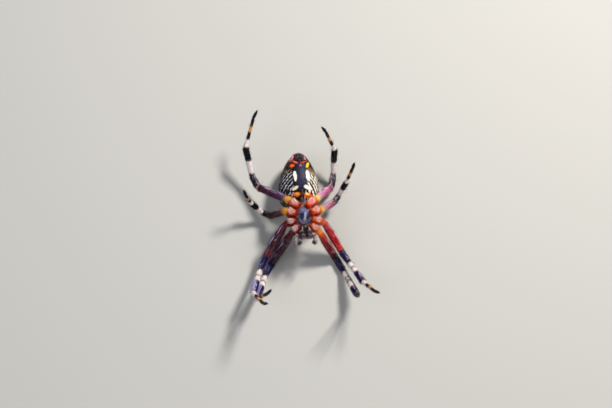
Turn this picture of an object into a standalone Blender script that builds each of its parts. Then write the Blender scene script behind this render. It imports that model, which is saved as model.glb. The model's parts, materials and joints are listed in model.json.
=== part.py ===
"""A life-size orb weaver spider, lying on its back with its eight legs spread.

The head points to -Y, the spinnerets to +Y and the underside up to +Z, so the
spider's own right side is at +X. Lengths below are millimetres, measured from
the middle of the sternum at the level of the hips. The whole spider hangs on
one empty, which lifts it so that it lies on z = 0.
"""

import math

import bmesh
import bpy
from mathutils import Matrix, Vector

MM = 0.001

# ---- driving dimensions, in millimetres ----
CARAPACE_LENGTH = 5.7
CARAPACE_WIDTH = 4.7
HEAD_WIDTH = 2.6
CARAPACE_REAR_Y = 2.65
HIP_RADIUS = 0.62
CARAPACE_FACE_Z = -0.80

STERNUM_LENGTH = 2.5
STERNUM_WIDTH = 1.85
STERNUM_TOP_Z = 0.5

ABDOMEN_LENGTH = 8.6
ABDOMEN_WIDTH = 5.68
ABDOMEN_HEIGHT = 5.8
UNDERSIDE_SHARE = 0.44
ABDOMEN_CENTRE = Vector((-0.04, 6.15, -2.35))
WIDTH_TAPER = 0.37
HEIGHT_TAPER = 0.10
ABDOMEN_FULLNESS = 0.75
ABDOMEN_TILT = 9.0
ABDOMEN_TURN = 4.0
ABDOMEN_FRONT_DROP = 1.3

CHELICERA_RADIUS = 0.5
CHELICERA_X = 0.53
PALP_RADIUS = 0.25

FLOOR_Z = -5.6
GAP = 0.03
ROUND_SIDES = 3
WELD = 0.0005

# Length of each leg article, front pair first:
# coxa, trochanter, femur, patella, tibia, metatarsus, tarsus.
LEG_LENGTHS = {
    1: (1.5, 0.55, 6.1, 2.1, 5.4, 5.1, 1.6),
    2: (1.4, 0.55, 5.7, 1.9, 4.9, 4.7, 1.5),
    3: (1.4, 0.55, 3.9, 1.2, 2.7, 2.6, 1.0),
    4: (1.7, 0.60, 5.6, 1.8, 4.5, 4.6, 1.2),
}
LEG_GIRTH = {1: 1.0, 2: 0.96, 3: 0.80, 4: 0.94}
HIP_GIRTH = {1: 1.0, 2: 1.0, 3: 1.1, 4: 1.1}
# The front thighs are round too, but a little thicker on the left than on the right.
FRONT_THIGH_GIRTH = {("left", 1): 1.08, ("left", 2): 1.06, ("right", 1): 0.94, ("right", 2): 0.91}

# Where each hip leaves the sternum, and the way it points. A heading is
# measured in degrees from straight ahead towards the spider's own side,
# and a pitch is positive towards the underside.
HIP_START = {1: (0.75, -1.15), 2: (1.05, -0.45), 3: (0.95, 0.45), 4: (0.50, 1.40)}
HIP_HEADING = {1: 44, 2: 72, 3: 106, 4: 128}
HIP_PITCH = -4
TROCHANTER_BEND = -12
PATELLA_SHARE = 0.67

# Heading and pitch of the femur, tibia, metatarsus and tarsus. The patella
# turns about two thirds of the way from the femur to the tibia.
LEG_POSE = {
    ("left", 1): ((44, -53), (23, 33), (-56, 77), (-111, 73)),
    ("left", 2): ((37, -33), (21, 26), (-20, 55), (-51, 67)),
    ("left", 3): ((103, -64), (119, 43), (121, 64), (153, 47)),
    ("left", 4): ((128, -32), (168, 29), (199, 30), (216, 41)),
    ("right", 1): ((45, -53), (16, 31), (-25, 74), (-60, 80)),
    ("right", 2): ((38, -42), (22, 30), (20, 58), (35, 62)),
    ("right", 3): ((129, -46), (143, 51), (151, 52), (156, 28)),
    ("right", 4): ((135, -49), (178, 46), (228, 61), (240, 53)),
}

# Radius of each article along its length, as (share of the length, radius).
HIP_SHAPE = ((0.0, 0.34), (0.25, 0.44), (0.5, 0.53), (0.8, HIP_RADIUS), (1.0, 0.53))
TROCHANTER_SHAPE = ((0.35, 0.48), (1.0, 0.44))
FEMUR_SHAPE = ((0.0, 0.45), (0.15, 0.58), (0.35, 0.66), (0.6, 0.65), (0.85, 0.58), (1.0, 0.50))
PATELLA_SHAPE = ((0.0, 0.50), (0.5, 0.53), (0.9, 0.46))
TIBIA_SHAPE = ((0.08, 0.43), (0.35, 0.43), (0.6, 0.48), (0.85, 0.50), (1.0, 0.42))
METATARSUS_SHAPE = ((0.0, 0.35), (0.12, 0.31), (0.45, 0.28), (0.95, 0.26))
TARSUS_SHAPE = ((0.08, 0.26), (0.85, 0.25), (1.0, 0.14))
THINNEST_RADIUS = 0.25

SIDES = (("left", -1), ("right", 1))

# ---- colours ----
DARK = (0.03, 0.02, 0.02, 1)
CARAPACE_BROWN = (0.16, 0.09, 0.06, 1)
RED = (0.45, 0.03, 0.02, 1)
ORANGE = (0.75, 0.20, 0.04, 1)
BANDED = (0.55, 0.50, 0.48, 1)
PALE = (0.70, 0.55, 0.45, 1)
NAVY = (0.03, 0.04, 0.08, 1)
EYE_BLACK = (0.005, 0.005, 0.006, 1)


def clear_scene():
    for old in list(bpy.data.objects):
        bpy.data.objects.remove(old)


def make_collection(name):
    collection = bpy.data.collections.new(name)
    bpy.context.scene.collection.children.link(collection)
    return collection


def make_material(name, color, roughness):
    material = bpy.data.materials.new(name)
    material.use_nodes = True
    shader = material.node_tree.nodes["Principled BSDF"]
    shader.inputs["Base Color"].default_value = color
    shader.inputs["Roughness"].default_value = roughness
    shader.inputs["Metallic"].default_value = 0.0
    material.diffuse_color = color
    return material


def direction(heading, pitch, side):
    """The unit vector of a heading and a pitch, in degrees, on one side."""
    turn = math.radians(heading)
    lift = math.radians(pitch)
    level = math.cos(lift)
    return Vector((side * math.sin(turn) * level, -math.cos(turn) * level, math.sin(lift)))


def blend(start, end, share):
    return start + (end - start) * share


def smooth_step(start, end, value):
    share = min(max((value - start) / (end - start), 0.0), 1.0)
    return share * share * (3 - 2 * share)


def cut_away(shape, point, outward):
    """Cuts a closed bmesh at a plane, drops the side outward points to and caps it."""
    everything = shape.verts[:] + shape.edges[:] + shape.faces[:]
    cut = bmesh.ops.bisect_plane(
        shape, geom=everything, dist=1e-7, plane_co=point, plane_no=outward, clear_outer=True
    )
    rim = [item for item in cut["geom_cut"] if isinstance(item, bmesh.types.BMEdge)]
    if rim:
        bmesh.ops.holes_fill(shape, edges=rim, sides=0)


def finish_piece(name, shape, material, collection, root):
    """Lays a bmesh in millimetres flat on the floor level and makes it an object in metres."""
    if min(vertex.co.z for vertex in shape.verts) < FLOOR_Z:
        cut_away(shape, Vector((0, 0, FLOOR_Z)), Vector((0, 0, -1)))
    bmesh.ops.recalc_face_normals(shape, faces=shape.faces)
    bmesh.ops.transform(shape, matrix=Matrix.Scale(MM, 4), verts=shape.verts)
    mesh = bpy.data.meshes.new(name)
    shape.to_mesh(mesh)
    shape.free()
    mesh.shade_smooth()
    mesh.set_sharp_from_angle(angle=math.radians(50))
    mesh.materials.append(material)
    piece = bpy.data.objects.new(name, mesh)
    collection.objects.link(piece)
    piece.parent = root
    return piece


def tube_shape(stations):
    """A round tube through (point, radius) stations, as a closed bmesh."""
    curve = bpy.data.curves.new("tube", "CURVE")
    curve.dimensions = "3D"
    curve.bevel_depth = 1.0
    curve.bevel_resolution = ROUND_SIDES
    curve.use_fill_caps = True
    spline = curve.splines.new("POLY")
    spline.points.add(len(stations) - 1)
    for place, (point, radius) in zip(spline.points, stations):
        place.co = (*point, 1.0)
        place.radius = radius
    guide = bpy.data.objects.new("tube", curve)
    bpy.context.scene.collection.objects.link(guide)
    graph = bpy.context.evaluated_depsgraph_get()
    mesh = bpy.data.meshes.new_from_object(guide.evaluated_get(graph))
    shape = bmesh.new()
    shape.from_mesh(mesh)
    bmesh.ops.remove_doubles(shape, verts=shape.verts, dist=WELD)
    bpy.data.meshes.remove(mesh)
    bpy.data.objects.remove(guide)
    bpy.data.curves.remove(curve)
    return shape


def ball_shape(rows, columns):
    """A unit sphere with its poles on the Y axis."""
    shape = bmesh.new()
    bmesh.ops.create_uvsphere(shape, u_segments=columns, v_segments=rows, radius=1.0)
    bmesh.ops.rotate(shape, verts=shape.verts, matrix=Matrix.Rotation(math.radians(90), 3, "X"))
    return shape


# ---- the two halves of the body ----

def abdomen_point(unit):
    """The egg-shaped abdomen at a point of the unit sphere; its front end hangs low."""
    ring = math.sqrt(max(1 - unit.y**2, 0.0))
    fullness = ring ** (ABDOMEN_FULLNESS - 1) if ring > 1e-6 else 0.0
    half_width = ABDOMEN_WIDTH / 2 * (1 - WIDTH_TAPER * unit.y)
    height_share = UNDERSIDE_SHARE if unit.z > 0 else 1 - UNDERSIDE_SHARE
    height = ABDOMEN_HEIGHT * height_share * (1 - HEIGHT_TAPER * unit.y)
    drop = ABDOMEN_FRONT_DROP * ((1 - unit.y) / 2) ** 3
    point = Vector((
        unit.x * fullness * half_width,
        unit.y * ABDOMEN_LENGTH / 2,
        unit.z * fullness * height - drop,
    ))
    point.rotate(Matrix.Rotation(math.radians(-ABDOMEN_TILT), 3, "X"))
    point.rotate(Matrix.Rotation(math.radians(-ABDOMEN_TURN), 3, "Z"))
    return point + ABDOMEN_CENTRE


def carapace_point(unit):
    """The back shield at a point of the unit sphere: pear-shaped, flat towards the hips."""
    ring = math.sqrt(max(1 - unit.y**2, 0.0))
    blunt = ring**-0.4 if ring > 1e-6 else 0.0
    middle_y = CARAPACE_REAR_Y - CARAPACE_LENGTH / 2
    broad = smooth_step(-0.8, 0.05, unit.y)
    half_width = blend(HEAD_WIDTH, CARAPACE_WIDTH, broad) / 2
    back = 1.30 + 0.35 * smooth_step(-1.0, 0.0, unit.y) - 0.55 * smooth_step(0.1, 0.9, unit.y)
    depth = max(-unit.z, 0.0) * blunt * back
    return Vector((
        unit.x * blunt * half_width,
        middle_y + unit.y * CARAPACE_LENGTH / 2,
        CARAPACE_FACE_Z - depth,
    ))


def shaped_ball(rows, columns, place):
    shape = ball_shape(rows, columns)
    for vertex in shape.verts:
        vertex.co = place(vertex.co.copy())
    return shape


def body_shapes():
    """The abdomen, the carapace and the sternum."""
    sternum_middle_z = (STERNUM_TOP_Z + CARAPACE_FACE_Z + GAP) / 2
    sternum_half_height = STERNUM_TOP_Z - sternum_middle_z

    def sternum_point(unit):
        ring = math.sqrt(max(1 - unit.y**2, 0.0))
        blunt = ring**-0.25 if ring > 1e-6 else 0.0
        narrowing = 1 - 0.25 * unit.y
        return Vector((
            unit.x * blunt * narrowing * STERNUM_WIDTH / 2,
            unit.y * STERNUM_LENGTH / 2,
            sternum_middle_z + unit.z * blunt * sternum_half_height,
        ))

    return {
        "abdomen": shaped_ball(16, 28, abdomen_point),
        "carapace": shaped_ball(14, 24, carapace_point),
        "sternum": shaped_ball(8, 14, sternum_point),
    }


def clearance(name, place, rows, columns, collection, root):
    """A cutter: a body half grown by the gap, which its neighbours are cut with."""
    shape = shaped_ball(rows, columns, place)
    bmesh.ops.recalc_face_normals(shape, faces=shape.faces)
    shape.normal_update()
    grown = [vertex.co + vertex.normal * GAP for vertex in shape.verts]
    for vertex, point in zip(shape.verts, grown):
        vertex.co = point
    bmesh.ops.transform(shape, matrix=Matrix.Scale(MM, 4), verts=shape.verts)
    mesh = bpy.data.meshes.new(name)
    shape.to_mesh(mesh)
    shape.free()
    cutter = bpy.data.objects.new(name, mesh)
    collection.objects.link(cutter)
    cutter.parent = root
    cutter.hide_render = True
    cutter.display_type = "WIRE"
    return cutter


def cut_with(piece, cutter):
    cut = piece.modifiers.new("meets " + cutter.name, "BOOLEAN")
    cut.operation = "DIFFERENCE"
    cut.solver = "EXACT"
    cut.object = cutter


# ---- mouthparts, eyes and spinnerets ----

def wedge_shape(rear_y, front_y, rear_x, front_x, low_z, high_z, round_by):
    """A rounded plate between two slanting sides, given as (inner, outer) at each end."""
    shape = bmesh.new()
    bmesh.ops.create_cube(shape, size=1.0)
    for vertex in shape.verts:
        inner, outer = rear_x if vertex.co.y > 0 else front_x
        vertex.co = Vector((
            outer if vertex.co.x > 0 else inner,
            rear_y if vertex.co.y > 0 else front_y,
            high_z if vertex.co.z > 0 else low_z,
        ))
    bmesh.ops.bevel(
        shape, geom=shape.edges, offset=round_by, segments=2, affect="EDGES", profile=0.5
    )
    return shape


def mirrored(shape, side):
    if side < 0:
        bmesh.ops.scale(shape, vec=(-1, 1, 1), verts=shape.verts)
    return shape


def endite_shape(side):
    low = CARAPACE_FACE_Z + GAP
    shape = wedge_shape(-1.42, -2.42, (0.27, 0.50), (0.22, 0.98), low, 0.42, 0.14)
    return mirrored(shape, side)


def labium_shape():
    low = CARAPACE_FACE_Z + GAP
    return wedge_shape(-1.34, -1.80, (-0.22, 0.22), (-0.17, 0.17), low, 0.40, 0.07)


def chelicera_shape(side):
    """A stout basal segment that leaves the head shield and points to the underside."""
    x = side * CHELICERA_X
    stations = (
        (Vector((x, -2.72, -0.95)), 0.44),
        (Vector((x, -2.85, -0.45)), 0.48),
        (Vector((x, -3.02, 0.10)), CHELICERA_RADIUS),
        (Vector((x, -3.15, 0.60)), 0.44),
        (Vector((x, -3.22, 0.92)), 0.30),
    )
    shape = tube_shape(stations)
    cut_away(shape, Vector((0, 0, CARAPACE_FACE_Z + GAP)), Vector((0, 0, -1)))
    return shape


def fang_shape(side):
    """A short curved fang, folded across the end of its chelicera."""
    stations = (
        (Vector((side * 0.66, -3.36, 1.10)), 0.13),
        (Vector((side * 0.50, -3.22, 1.14)), 0.13),
        (Vector((side * 0.30, -3.08, 1.14)), 0.09),
        (Vector((side * 0.14, -2.98, 1.08)), 0.04),
    )
    return tube_shape(stations)


def palp_shape(side):
    stations = (
        (Vector((side * 1.17, -2.84, 0.05)), PALP_RADIUS),
        (Vector((side * 1.33, -3.30, -0.20)), PALP_RADIUS + 0.03),
        (Vector((side * 1.38, -3.72, -0.25)), PALP_RADIUS + 0.03),
        (Vector((side * 1.28, -4.05, 0.05)), PALP_RADIUS + 0.02),
        (Vector((side * 1.06, -4.14, 0.50)), PALP_RADIUS + 0.02),
        (Vector((side * 0.92, -4.12, 0.90)), PALP_RADIUS),
        (Vector((side * 0.87, -4.10, 1.08)), 0.14),
    )
    return tube_shape(stations)


def pedicel_shape():
    """The short waist between the carapace and the abdomen."""
    start = Vector((0, CARAPACE_REAR_Y - 0.35, CARAPACE_FACE_Z - 0.3))
    end = Vector((-0.05, CARAPACE_REAR_Y + 0.9, CARAPACE_FACE_Z - 0.4))
    return tube_shape(((start, 0.3), (blend(start, end, 0.5), 0.3), (end, 0.3)))


def unit_towards(x, y, z):
    return Vector((x, y, z)).normalized()


def dome_on(place, unit, radii):
    """An ellipsoid centred on a body half, with its third radius along the outward normal."""
    step = 0.02
    across = place(unit_towards(unit.x + step, unit.y, unit.z)) - place(unit)
    along = place(unit_towards(unit.x, unit.y + step, unit.z + step * 0.3)) - place(unit)
    outward = across.cross(along).normalized()
    if outward.dot(unit) < 0:
        outward.negate()
    shape = bmesh.new()
    bmesh.ops.create_uvsphere(shape, u_segments=12, v_segments=8, radius=1.0)
    bmesh.ops.scale(shape, vec=radii, verts=shape.verts)
    turn = outward.to_track_quat("Z", "Y").to_matrix()
    bmesh.ops.rotate(shape, verts=shape.verts, matrix=turn)
    bmesh.ops.translate(shape, verts=shape.verts, vec=place(unit))
    return shape


# Eight eyes on the front of the head: (name, direction on the unit sphere, radius).
EYES = (
    ("anterior_median", (0.17, -1.0, -0.22), 0.15),
    ("posterior_median", (0.17, -1.0, -0.42), 0.14),
    ("anterior_lateral", (0.62, -1.0, -0.26), 0.11),
    ("posterior_lateral", (0.66, -0.96, -0.42), 0.11),
)


# ---- legs ----

def leg_joints(side_name, side, pair):
    """The seven articles' directions and the eight points between them."""
    femur, tibia, metatarsus, tarsus = LEG_POSE[side_name, pair]
    patella = tuple(blend(femur[i], tibia[i], PATELLA_SHARE) for i in (0, 1))
    heading = HIP_HEADING[pair]
    angles = (
        (heading, HIP_PITCH), (heading, HIP_PITCH + TROCHANTER_BEND),
        femur, patella, tibia, metatarsus, tarsus,
    )
    directions = [direction(*pair_of_angles, side) for pair_of_angles in angles]
    x, y = HIP_START[pair]
    points = [Vector((side * x, y, 0.0))]
    for way, length in zip(directions, LEG_LENGTHS[pair]):
        points.append(points[-1] + way * length)
    return directions, points


def article(start, end, shape, girth):
    return [
        (blend(start, end, share), max(radius * girth, min(radius, THINNEST_RADIUS)))
        for share, radius in shape
    ]


def leg_shapes(side_name, side, pair):
    """A leg as four solids: hip, femur, patella with tibia, metatarsus with tarsus.

    Neighbours are cut at one slanting plane across the joint, so their outlines
    run on without a step and a hairline of air keeps them apart.
    """
    ways, points = leg_joints(side_name, side, pair)
    girth = LEG_GIRTH[pair]
    girths = {
        "coxa": HIP_GIRTH[pair],
        "femur": FRONT_THIGH_GIRTH.get((side_name, pair), girth),
    }
    groups = {
        "coxa": ((0, HIP_SHAPE), (1, TROCHANTER_SHAPE)),
        "femur": ((2, FEMUR_SHAPE),),
        "patella_tibia": ((3, PATELLA_SHAPE), (4, TIBIA_SHAPE)),
        "metatarsus_tarsus": ((5, METATARSUS_SHAPE), (6, TARSUS_SHAPE)),
    }
    shapes = {}
    for name, members in groups.items():
        stations = []
        for index, profile in members:
            thickness = girths.get(name, girth)
            stations += article(points[index], points[index + 1], profile, thickness)
        first, last = members[0][0], members[-1][0]
        overrun = stations[-1][1]
        if first > 0:
            stations.insert(0, (points[first] - ways[first] * overrun, stations[0][1]))
        if last < len(ways) - 1:
            stations.append((points[last + 1] + ways[last] * overrun, stations[-1][1]))
        shape = tube_shape(stations)
        if first > 0:
            seam = (ways[first - 1] + ways[first]).normalized()
            cut_away(shape, points[first] + seam * GAP / 2, -seam)
        if last < len(ways) - 1:
            seam = (ways[last] + ways[last + 1]).normalized()
            cut_away(shape, points[last + 1] - seam * GAP / 2, seam)
        shapes[name] = shape
    return shapes


# ---- the whole spider ----

def build_body(collection, cutters, root):
    brown = make_material("carapace_brown", CARAPACE_BROWN, 0.5)
    black = make_material("abdomen_black", DARK, 0.45)
    navy = make_material("sternum_navy", NAVY, 0.4)
    colours = {"abdomen": black, "carapace": brown, "sternum": navy}
    for name, shape in body_shapes().items():
        finish_piece(name, shape, colours[name], collection, root)
    around_abdomen = clearance("abdomen_clearance", abdomen_point, 16, 28, cutters, root)
    around_carapace = clearance("carapace_clearance", carapace_point, 14, 24, cutters, root)

    dark = make_material("mouthpart_dark", DARK, 0.3)
    pale = make_material("palp_pale", PALE, 0.5)
    waist = finish_piece("pedicel", pedicel_shape(), brown, collection, root)
    cut_with(waist, around_carapace)
    cut_with(waist, around_abdomen)
    finish_piece("labium", labium_shape(), dark, collection, root)
    for side_name, side in SIDES:
        finish_piece("endite_" + side_name, endite_shape(side), dark, collection, root)
        finish_piece("chelicera_" + side_name, chelicera_shape(side), dark, collection, root)
        finish_piece("fang_" + side_name, fang_shape(side), dark, collection, root)
        finish_piece("pedipalp_" + side_name, palp_shape(side), pale, collection, root)

    rear = dome_on(abdomen_point, unit_towards(0.0, 0.70, 0.72), (0.70, 0.60, 0.55))
    cut_with(finish_piece("spinnerets", rear, dark, collection, root), around_abdomen)

    eye_black = make_material("eye_black", EYE_BLACK, 0.08)
    for name, (x, y, z), radius in EYES:
        for side_name, side in SIDES:
            dome = dome_on(carapace_point, unit_towards(side * x, y, z), (radius, radius, radius))
            full_name = f"eye_{name}_{side_name}"
            cut_with(finish_piece(full_name, dome, eye_black, collection, root), around_carapace)


def build_legs(collection, root):
    colours = {
        "coxa": make_material("coxa_orange", ORANGE, 0.4),
        "femur": make_material("femur_red", RED, 0.35),
        "patella_tibia": make_material("leg_banded", BANDED, 0.5),
        "metatarsus_tarsus": make_material("foot_banded", BANDED, 0.5),
    }
    for pair in LEG_LENGTHS:
        for side_name, side in SIDES:
            for part_name, shape in leg_shapes(side_name, side, pair).items():
                name = f"{part_name}_{pair}_{side_name}"
                finish_piece(name, shape, colours[part_name], collection, root)


def centre_on_floor(collection, root):
    """Moves the root so that the spider's box has its bottom centre at the origin."""
    corners = [vertex.co for piece in collection.objects for vertex in piece.data.vertices]
    middle = [(min(c[i] for c in corners) + max(c[i] for c in corners)) / 2 for i in (0, 1)]
    root.location = (-middle[0], -middle[1], -FLOOR_Z * MM)


def main():
    clear_scene()
    collection = make_collection("orb_weaver_spider")
    cutters = make_collection("cutters")
    root = bpy.data.objects.new("spider", None)
    bpy.context.scene.collection.objects.link(root)
    build_body(collection, cutters, root)
    build_legs(collection, root)
    centre_on_floor(collection, root)


main()
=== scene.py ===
# %% [markdown]
# # An orb weaver spider, laid on its back
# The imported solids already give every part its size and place. This lesson dresses them:
# smooth skins with the spider's marks, glossy shell plates, and a hundred thousand hairs.
# Everything is worked out in millimetres, because the whole animal is only three centimetres
# long with its legs spread, and is turned into metres when a piece is finished.

import json
import math

import bmesh
import bpy
import numpy as np
from mathutils import Matrix, Vector
from mathutils.bvhtree import BVHTree

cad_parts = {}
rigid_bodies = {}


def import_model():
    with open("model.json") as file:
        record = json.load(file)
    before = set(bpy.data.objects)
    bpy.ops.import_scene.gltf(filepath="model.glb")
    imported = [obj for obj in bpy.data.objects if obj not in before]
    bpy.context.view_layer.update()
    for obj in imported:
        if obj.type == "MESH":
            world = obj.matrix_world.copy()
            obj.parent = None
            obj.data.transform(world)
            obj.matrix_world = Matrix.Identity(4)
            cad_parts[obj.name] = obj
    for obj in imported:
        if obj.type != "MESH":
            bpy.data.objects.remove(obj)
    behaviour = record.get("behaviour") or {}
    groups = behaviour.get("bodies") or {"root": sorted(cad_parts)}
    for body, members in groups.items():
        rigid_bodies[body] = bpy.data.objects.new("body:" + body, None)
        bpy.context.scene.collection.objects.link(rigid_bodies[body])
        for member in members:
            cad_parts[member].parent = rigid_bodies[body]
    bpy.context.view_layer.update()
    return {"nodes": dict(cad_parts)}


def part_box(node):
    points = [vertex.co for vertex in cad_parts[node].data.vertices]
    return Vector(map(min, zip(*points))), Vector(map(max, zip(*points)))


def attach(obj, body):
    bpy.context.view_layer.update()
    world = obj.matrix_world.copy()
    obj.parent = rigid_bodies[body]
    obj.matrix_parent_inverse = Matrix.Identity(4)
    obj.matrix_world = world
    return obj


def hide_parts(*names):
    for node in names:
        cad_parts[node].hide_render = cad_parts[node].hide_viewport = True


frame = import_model()
MM = 0.001
SIDES = (("left", -1), ("right", 1))
PAIRS = (1, 2, 3, 4)


def box_mm(node):
    low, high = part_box(node)
    return low / MM, high / MM


def middle_mm(node):
    low, high = box_mm(node)
    return (low + high) / 2


sternum_middle = middle_mm("sternum")

# %% [markdown]
# ## The camera
# The camera looks down on the underside. It stands a little towards the head and towards
# the spider's left, and is rolled so that the body runs up the picture, leaning slightly.
# A long lens keeps the legs in proportion. The breast plate sits left of the picture's
# middle and a bit below it, so the camera aims beside it instead of using lens shift.

# %% Camera
CAMERA_TOWARDS_HEAD = 16.0
CAMERA_TOWARDS_LEFT = 7.0
BODY_LEAN = 5.1
PICTURE_WIDTH_MM = 88.7
STERNUM_FROM_MIDDLE_MM = (-0.29, -1.81)
LENS = 100.0
SENSOR = 36.0


def camera_axes():
    """The picture's right, its up and the way back to the camera, as unit vectors."""
    back = Vector((-math.sin(math.radians(CAMERA_TOWARDS_LEFT)),
                   -math.sin(math.radians(CAMERA_TOWARDS_HEAD)), 0))
    back.z = math.sqrt(1 - back.length_squared)
    along = Vector((0, 1, 0))
    up = (along - back * along.dot(back)).normalized()
    up.rotate(Matrix.Rotation(math.radians(-BODY_LEAN), 3, back))
    return up.cross(back), up, back


right_way, up_way, back_way = camera_axes()
distance = LENS * PICTURE_WIDTH_MM / SENSOR
across_mm, up_mm = STERNUM_FROM_MIDDLE_MM
aim = sternum_middle - right_way * across_mm - up_way * up_mm
camera_data = bpy.data.cameras.new("camera")
camera_data.lens = LENS
camera_data.sensor_width = SENSOR
camera_data.clip_start = MM
camera = bpy.data.objects.new("camera", camera_data)
turn = Matrix((right_way, up_way, back_way)).transposed().to_4x4()
camera.matrix_world = Matrix.Translation((aim + back_way * distance) * MM) @ turn
bpy.context.scene.collection.objects.link(camera)
bpy.context.scene.camera = camera
print("camera at, mm:", tuple(round(v, 1) for v in camera.location / MM))

# %% [markdown]
# ## Floor and light
# The floor is a plain pale sheet. The main lamp stands on the upper right of the picture. A
# wide soft one on the other side, a weak one before the head and a faint sky fill the
# shadows, so that the red legs glow on their lit side while the dark marks stay dark.

# %% Floor and lamps
FLOOR_SIZE = 2.0
FLOOR_COLOR = (0.50, 0.49, 0.46, 1)
FLOOR_ROUGHNESS = 0.9
SKY_COLOR = (0.85, 0.90, 1.0, 1)
SKY_STRENGTH = 0.24
# Each lamp: name, place in mm, size in mm, watts, colour.
LAMPS = (
    ("main_lamp", (110, 110, 190), 45, 0.74, (1.0, 0.97, 0.92)),
    ("soft_lamp", (-160, -40, 170), 150, 0.13, (0.86, 0.90, 1.0)),
    ("head_lamp", (10, -190, 60), 120, 0.10, (1.0, 0.98, 0.95)),
)


def make_floor():
    shape = bmesh.new()
    bmesh.ops.create_grid(shape, x_segments=1, y_segments=1, size=FLOOR_SIZE / 2)
    mesh = bpy.data.meshes.new("floor")
    shape.to_mesh(mesh)
    shape.free()
    material = bpy.data.materials.new("floor_pale")
    material.use_nodes = True
    shader = material.node_tree.nodes["Principled BSDF"]
    shader.inputs["Base Color"].default_value = FLOOR_COLOR
    shader.inputs["Roughness"].default_value = FLOOR_ROUGHNESS
    mesh.materials.append(material)
    floor = bpy.data.objects.new("floor", mesh)
    bpy.context.scene.collection.objects.link(floor)


def make_lamp(name, place_mm, size_mm, watts, color):
    lamp = bpy.data.lights.new(name, "AREA")
    lamp.size = size_mm * MM
    lamp.energy = watts
    lamp.color = color
    holder = bpy.data.objects.new(name, lamp)
    way = Vector(place_mm)
    holder.location = way * MM
    holder.rotation_euler = way.to_track_quat("Z", "Y").to_euler()
    bpy.context.scene.collection.objects.link(holder)


make_floor()
for lamp in LAMPS:
    make_lamp(*lamp)
sky = bpy.data.worlds.new("sky")
sky.use_nodes = True
sky_light = sky.node_tree.nodes["Background"].inputs
sky_light["Color"].default_value = SKY_COLOR
sky_light["Strength"].default_value = SKY_STRENGTH
bpy.context.scene.world = sky
bpy.context.scene.view_settings.view_transform = "Standard"
print("lamps:", len(LAMPS))

# %% [markdown]
# ## Helpers for meshes
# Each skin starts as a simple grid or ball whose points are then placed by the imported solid.
# Its points also carry what colours and hairs need later. "run" counts a leg's segments from
# hip (0) to claw (7), and "top" is 1 on the side turned up to the viewer. "lie" is the way
# the hairs point. "chart" is an unwrap: two numbers whose arc tangent is the turn round the
# piece, and the share of its length.

# %% Mesh helpers
LIE_BACK = Vector((0, 1, 0))
WELD_MM = 0.0005


def solid_copy(node):
    """A node's loose triangles as one merged bmesh, in millimetres."""
    shape = bmesh.new()
    shape.from_mesh(frame["nodes"][node].data)
    bmesh.ops.scale(shape, vec=(1 / MM, 1 / MM, 1 / MM), verts=shape.verts)
    bmesh.ops.remove_doubles(shape, verts=shape.verts, dist=WELD_MM)
    return shape


def surface_of(node):
    shape = solid_copy(node)
    tree = BVHTree.FromBMesh(shape)
    shape.free()
    return tree


print("packed solids:", len(frame["nodes"]))


# %% Showing a piece
def finish_piece(name, shape, material, replaces=(), sharp=70):
    """Turns a bmesh in millimetres into a shown piece in metres."""
    bmesh.ops.scale(shape, vec=(MM, MM, MM), verts=shape.verts)
    mesh = bpy.data.meshes.new(name)
    shape.to_mesh(mesh)
    shape.free()
    mesh.shade_smooth()
    mesh.set_sharp_from_angle(angle=math.radians(sharp))
    mesh.materials.append(material)
    return show(name, mesh, replaces)


def show(name, mesh, replaces=()):
    piece = bpy.data.objects.new(name, mesh)
    bpy.context.scene.collection.objects.link(piece)
    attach(piece, "root")
    if replaces:
        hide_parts(*replaces)
    return piece


# %% Soft steps and bells
def bump_at(distance, width):
    """A soft bell, 1 in its middle and nearly 0 beyond twice its width."""
    return math.exp(-((distance / width) ** 2))


def blend(first, second, share):
    return first + (second - first) * share


def smooth_share(start, end, value):
    """0 up to the start and 1 from the end on; it takes a number or a whole array."""
    share = np.clip((value - start) / (end - start), 0.0, 1.0)
    return share * share * (3 - 2 * share)


# %% Balls and skins
def hair_layers(shape):
    """The two layers that every coat reads."""
    layers = shape.verts.layers.float_vector
    return layers.new("chart"), layers.new("lie")


def settled(shape, key):
    """The same shape with its corners and faces in one fixed order.

    The operators for balls and spins leave them in an order that changes from run to run,
    and the hairs, which are scattered over the faces by number, would change with it.
    """
    ordered = sorted(shape.verts, key=key)
    rank = {vertex: number for number, vertex in enumerate(ordered)}
    fresh = bmesh.new()
    points = [fresh.verts.new(vertex.co) for vertex in ordered]
    faces = []
    for face in shape.faces:
        ranks = [rank[vertex] for vertex in face.verts]
        first = ranks.index(min(ranks))
        faces.append(ranks[first:] + ranks[:first])
    for ranks in sorted(faces):
        fresh.faces.new([points[number] for number in ranks])
    shape.free()
    return fresh


def turn_number(vertex, sides):
    """Which of the equal turns about the Z axis a corner stands on."""
    return round(math.atan2(vertex.co.y, vertex.co.x) / math.tau * sides) % sides


def ball(rows, columns):
    """A unit ball with its poles at the front and the rear."""
    shape = bmesh.new()
    bmesh.ops.create_uvsphere(shape, u_segments=columns, v_segments=rows, radius=1.0)

    def grid_place(vertex):
        fall = math.acos(min(max(vertex.co.z, -1.0), 1.0))
        return round(fall / math.pi * rows), turn_number(vertex, columns)
    shape = settled(shape, grid_place)
    quarter = Matrix.Rotation(math.radians(90), 3, "X")
    bmesh.ops.rotate(shape, verts=shape.verts, matrix=quarter)
    chart, lie = hair_layers(shape)
    for vertex in shape.verts:
        x, y, z = vertex.co
        vertex[chart] = Vector((z, x, (y + 1) / 2))
        vertex[lie] = LIE_BACK
    return shape


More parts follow.
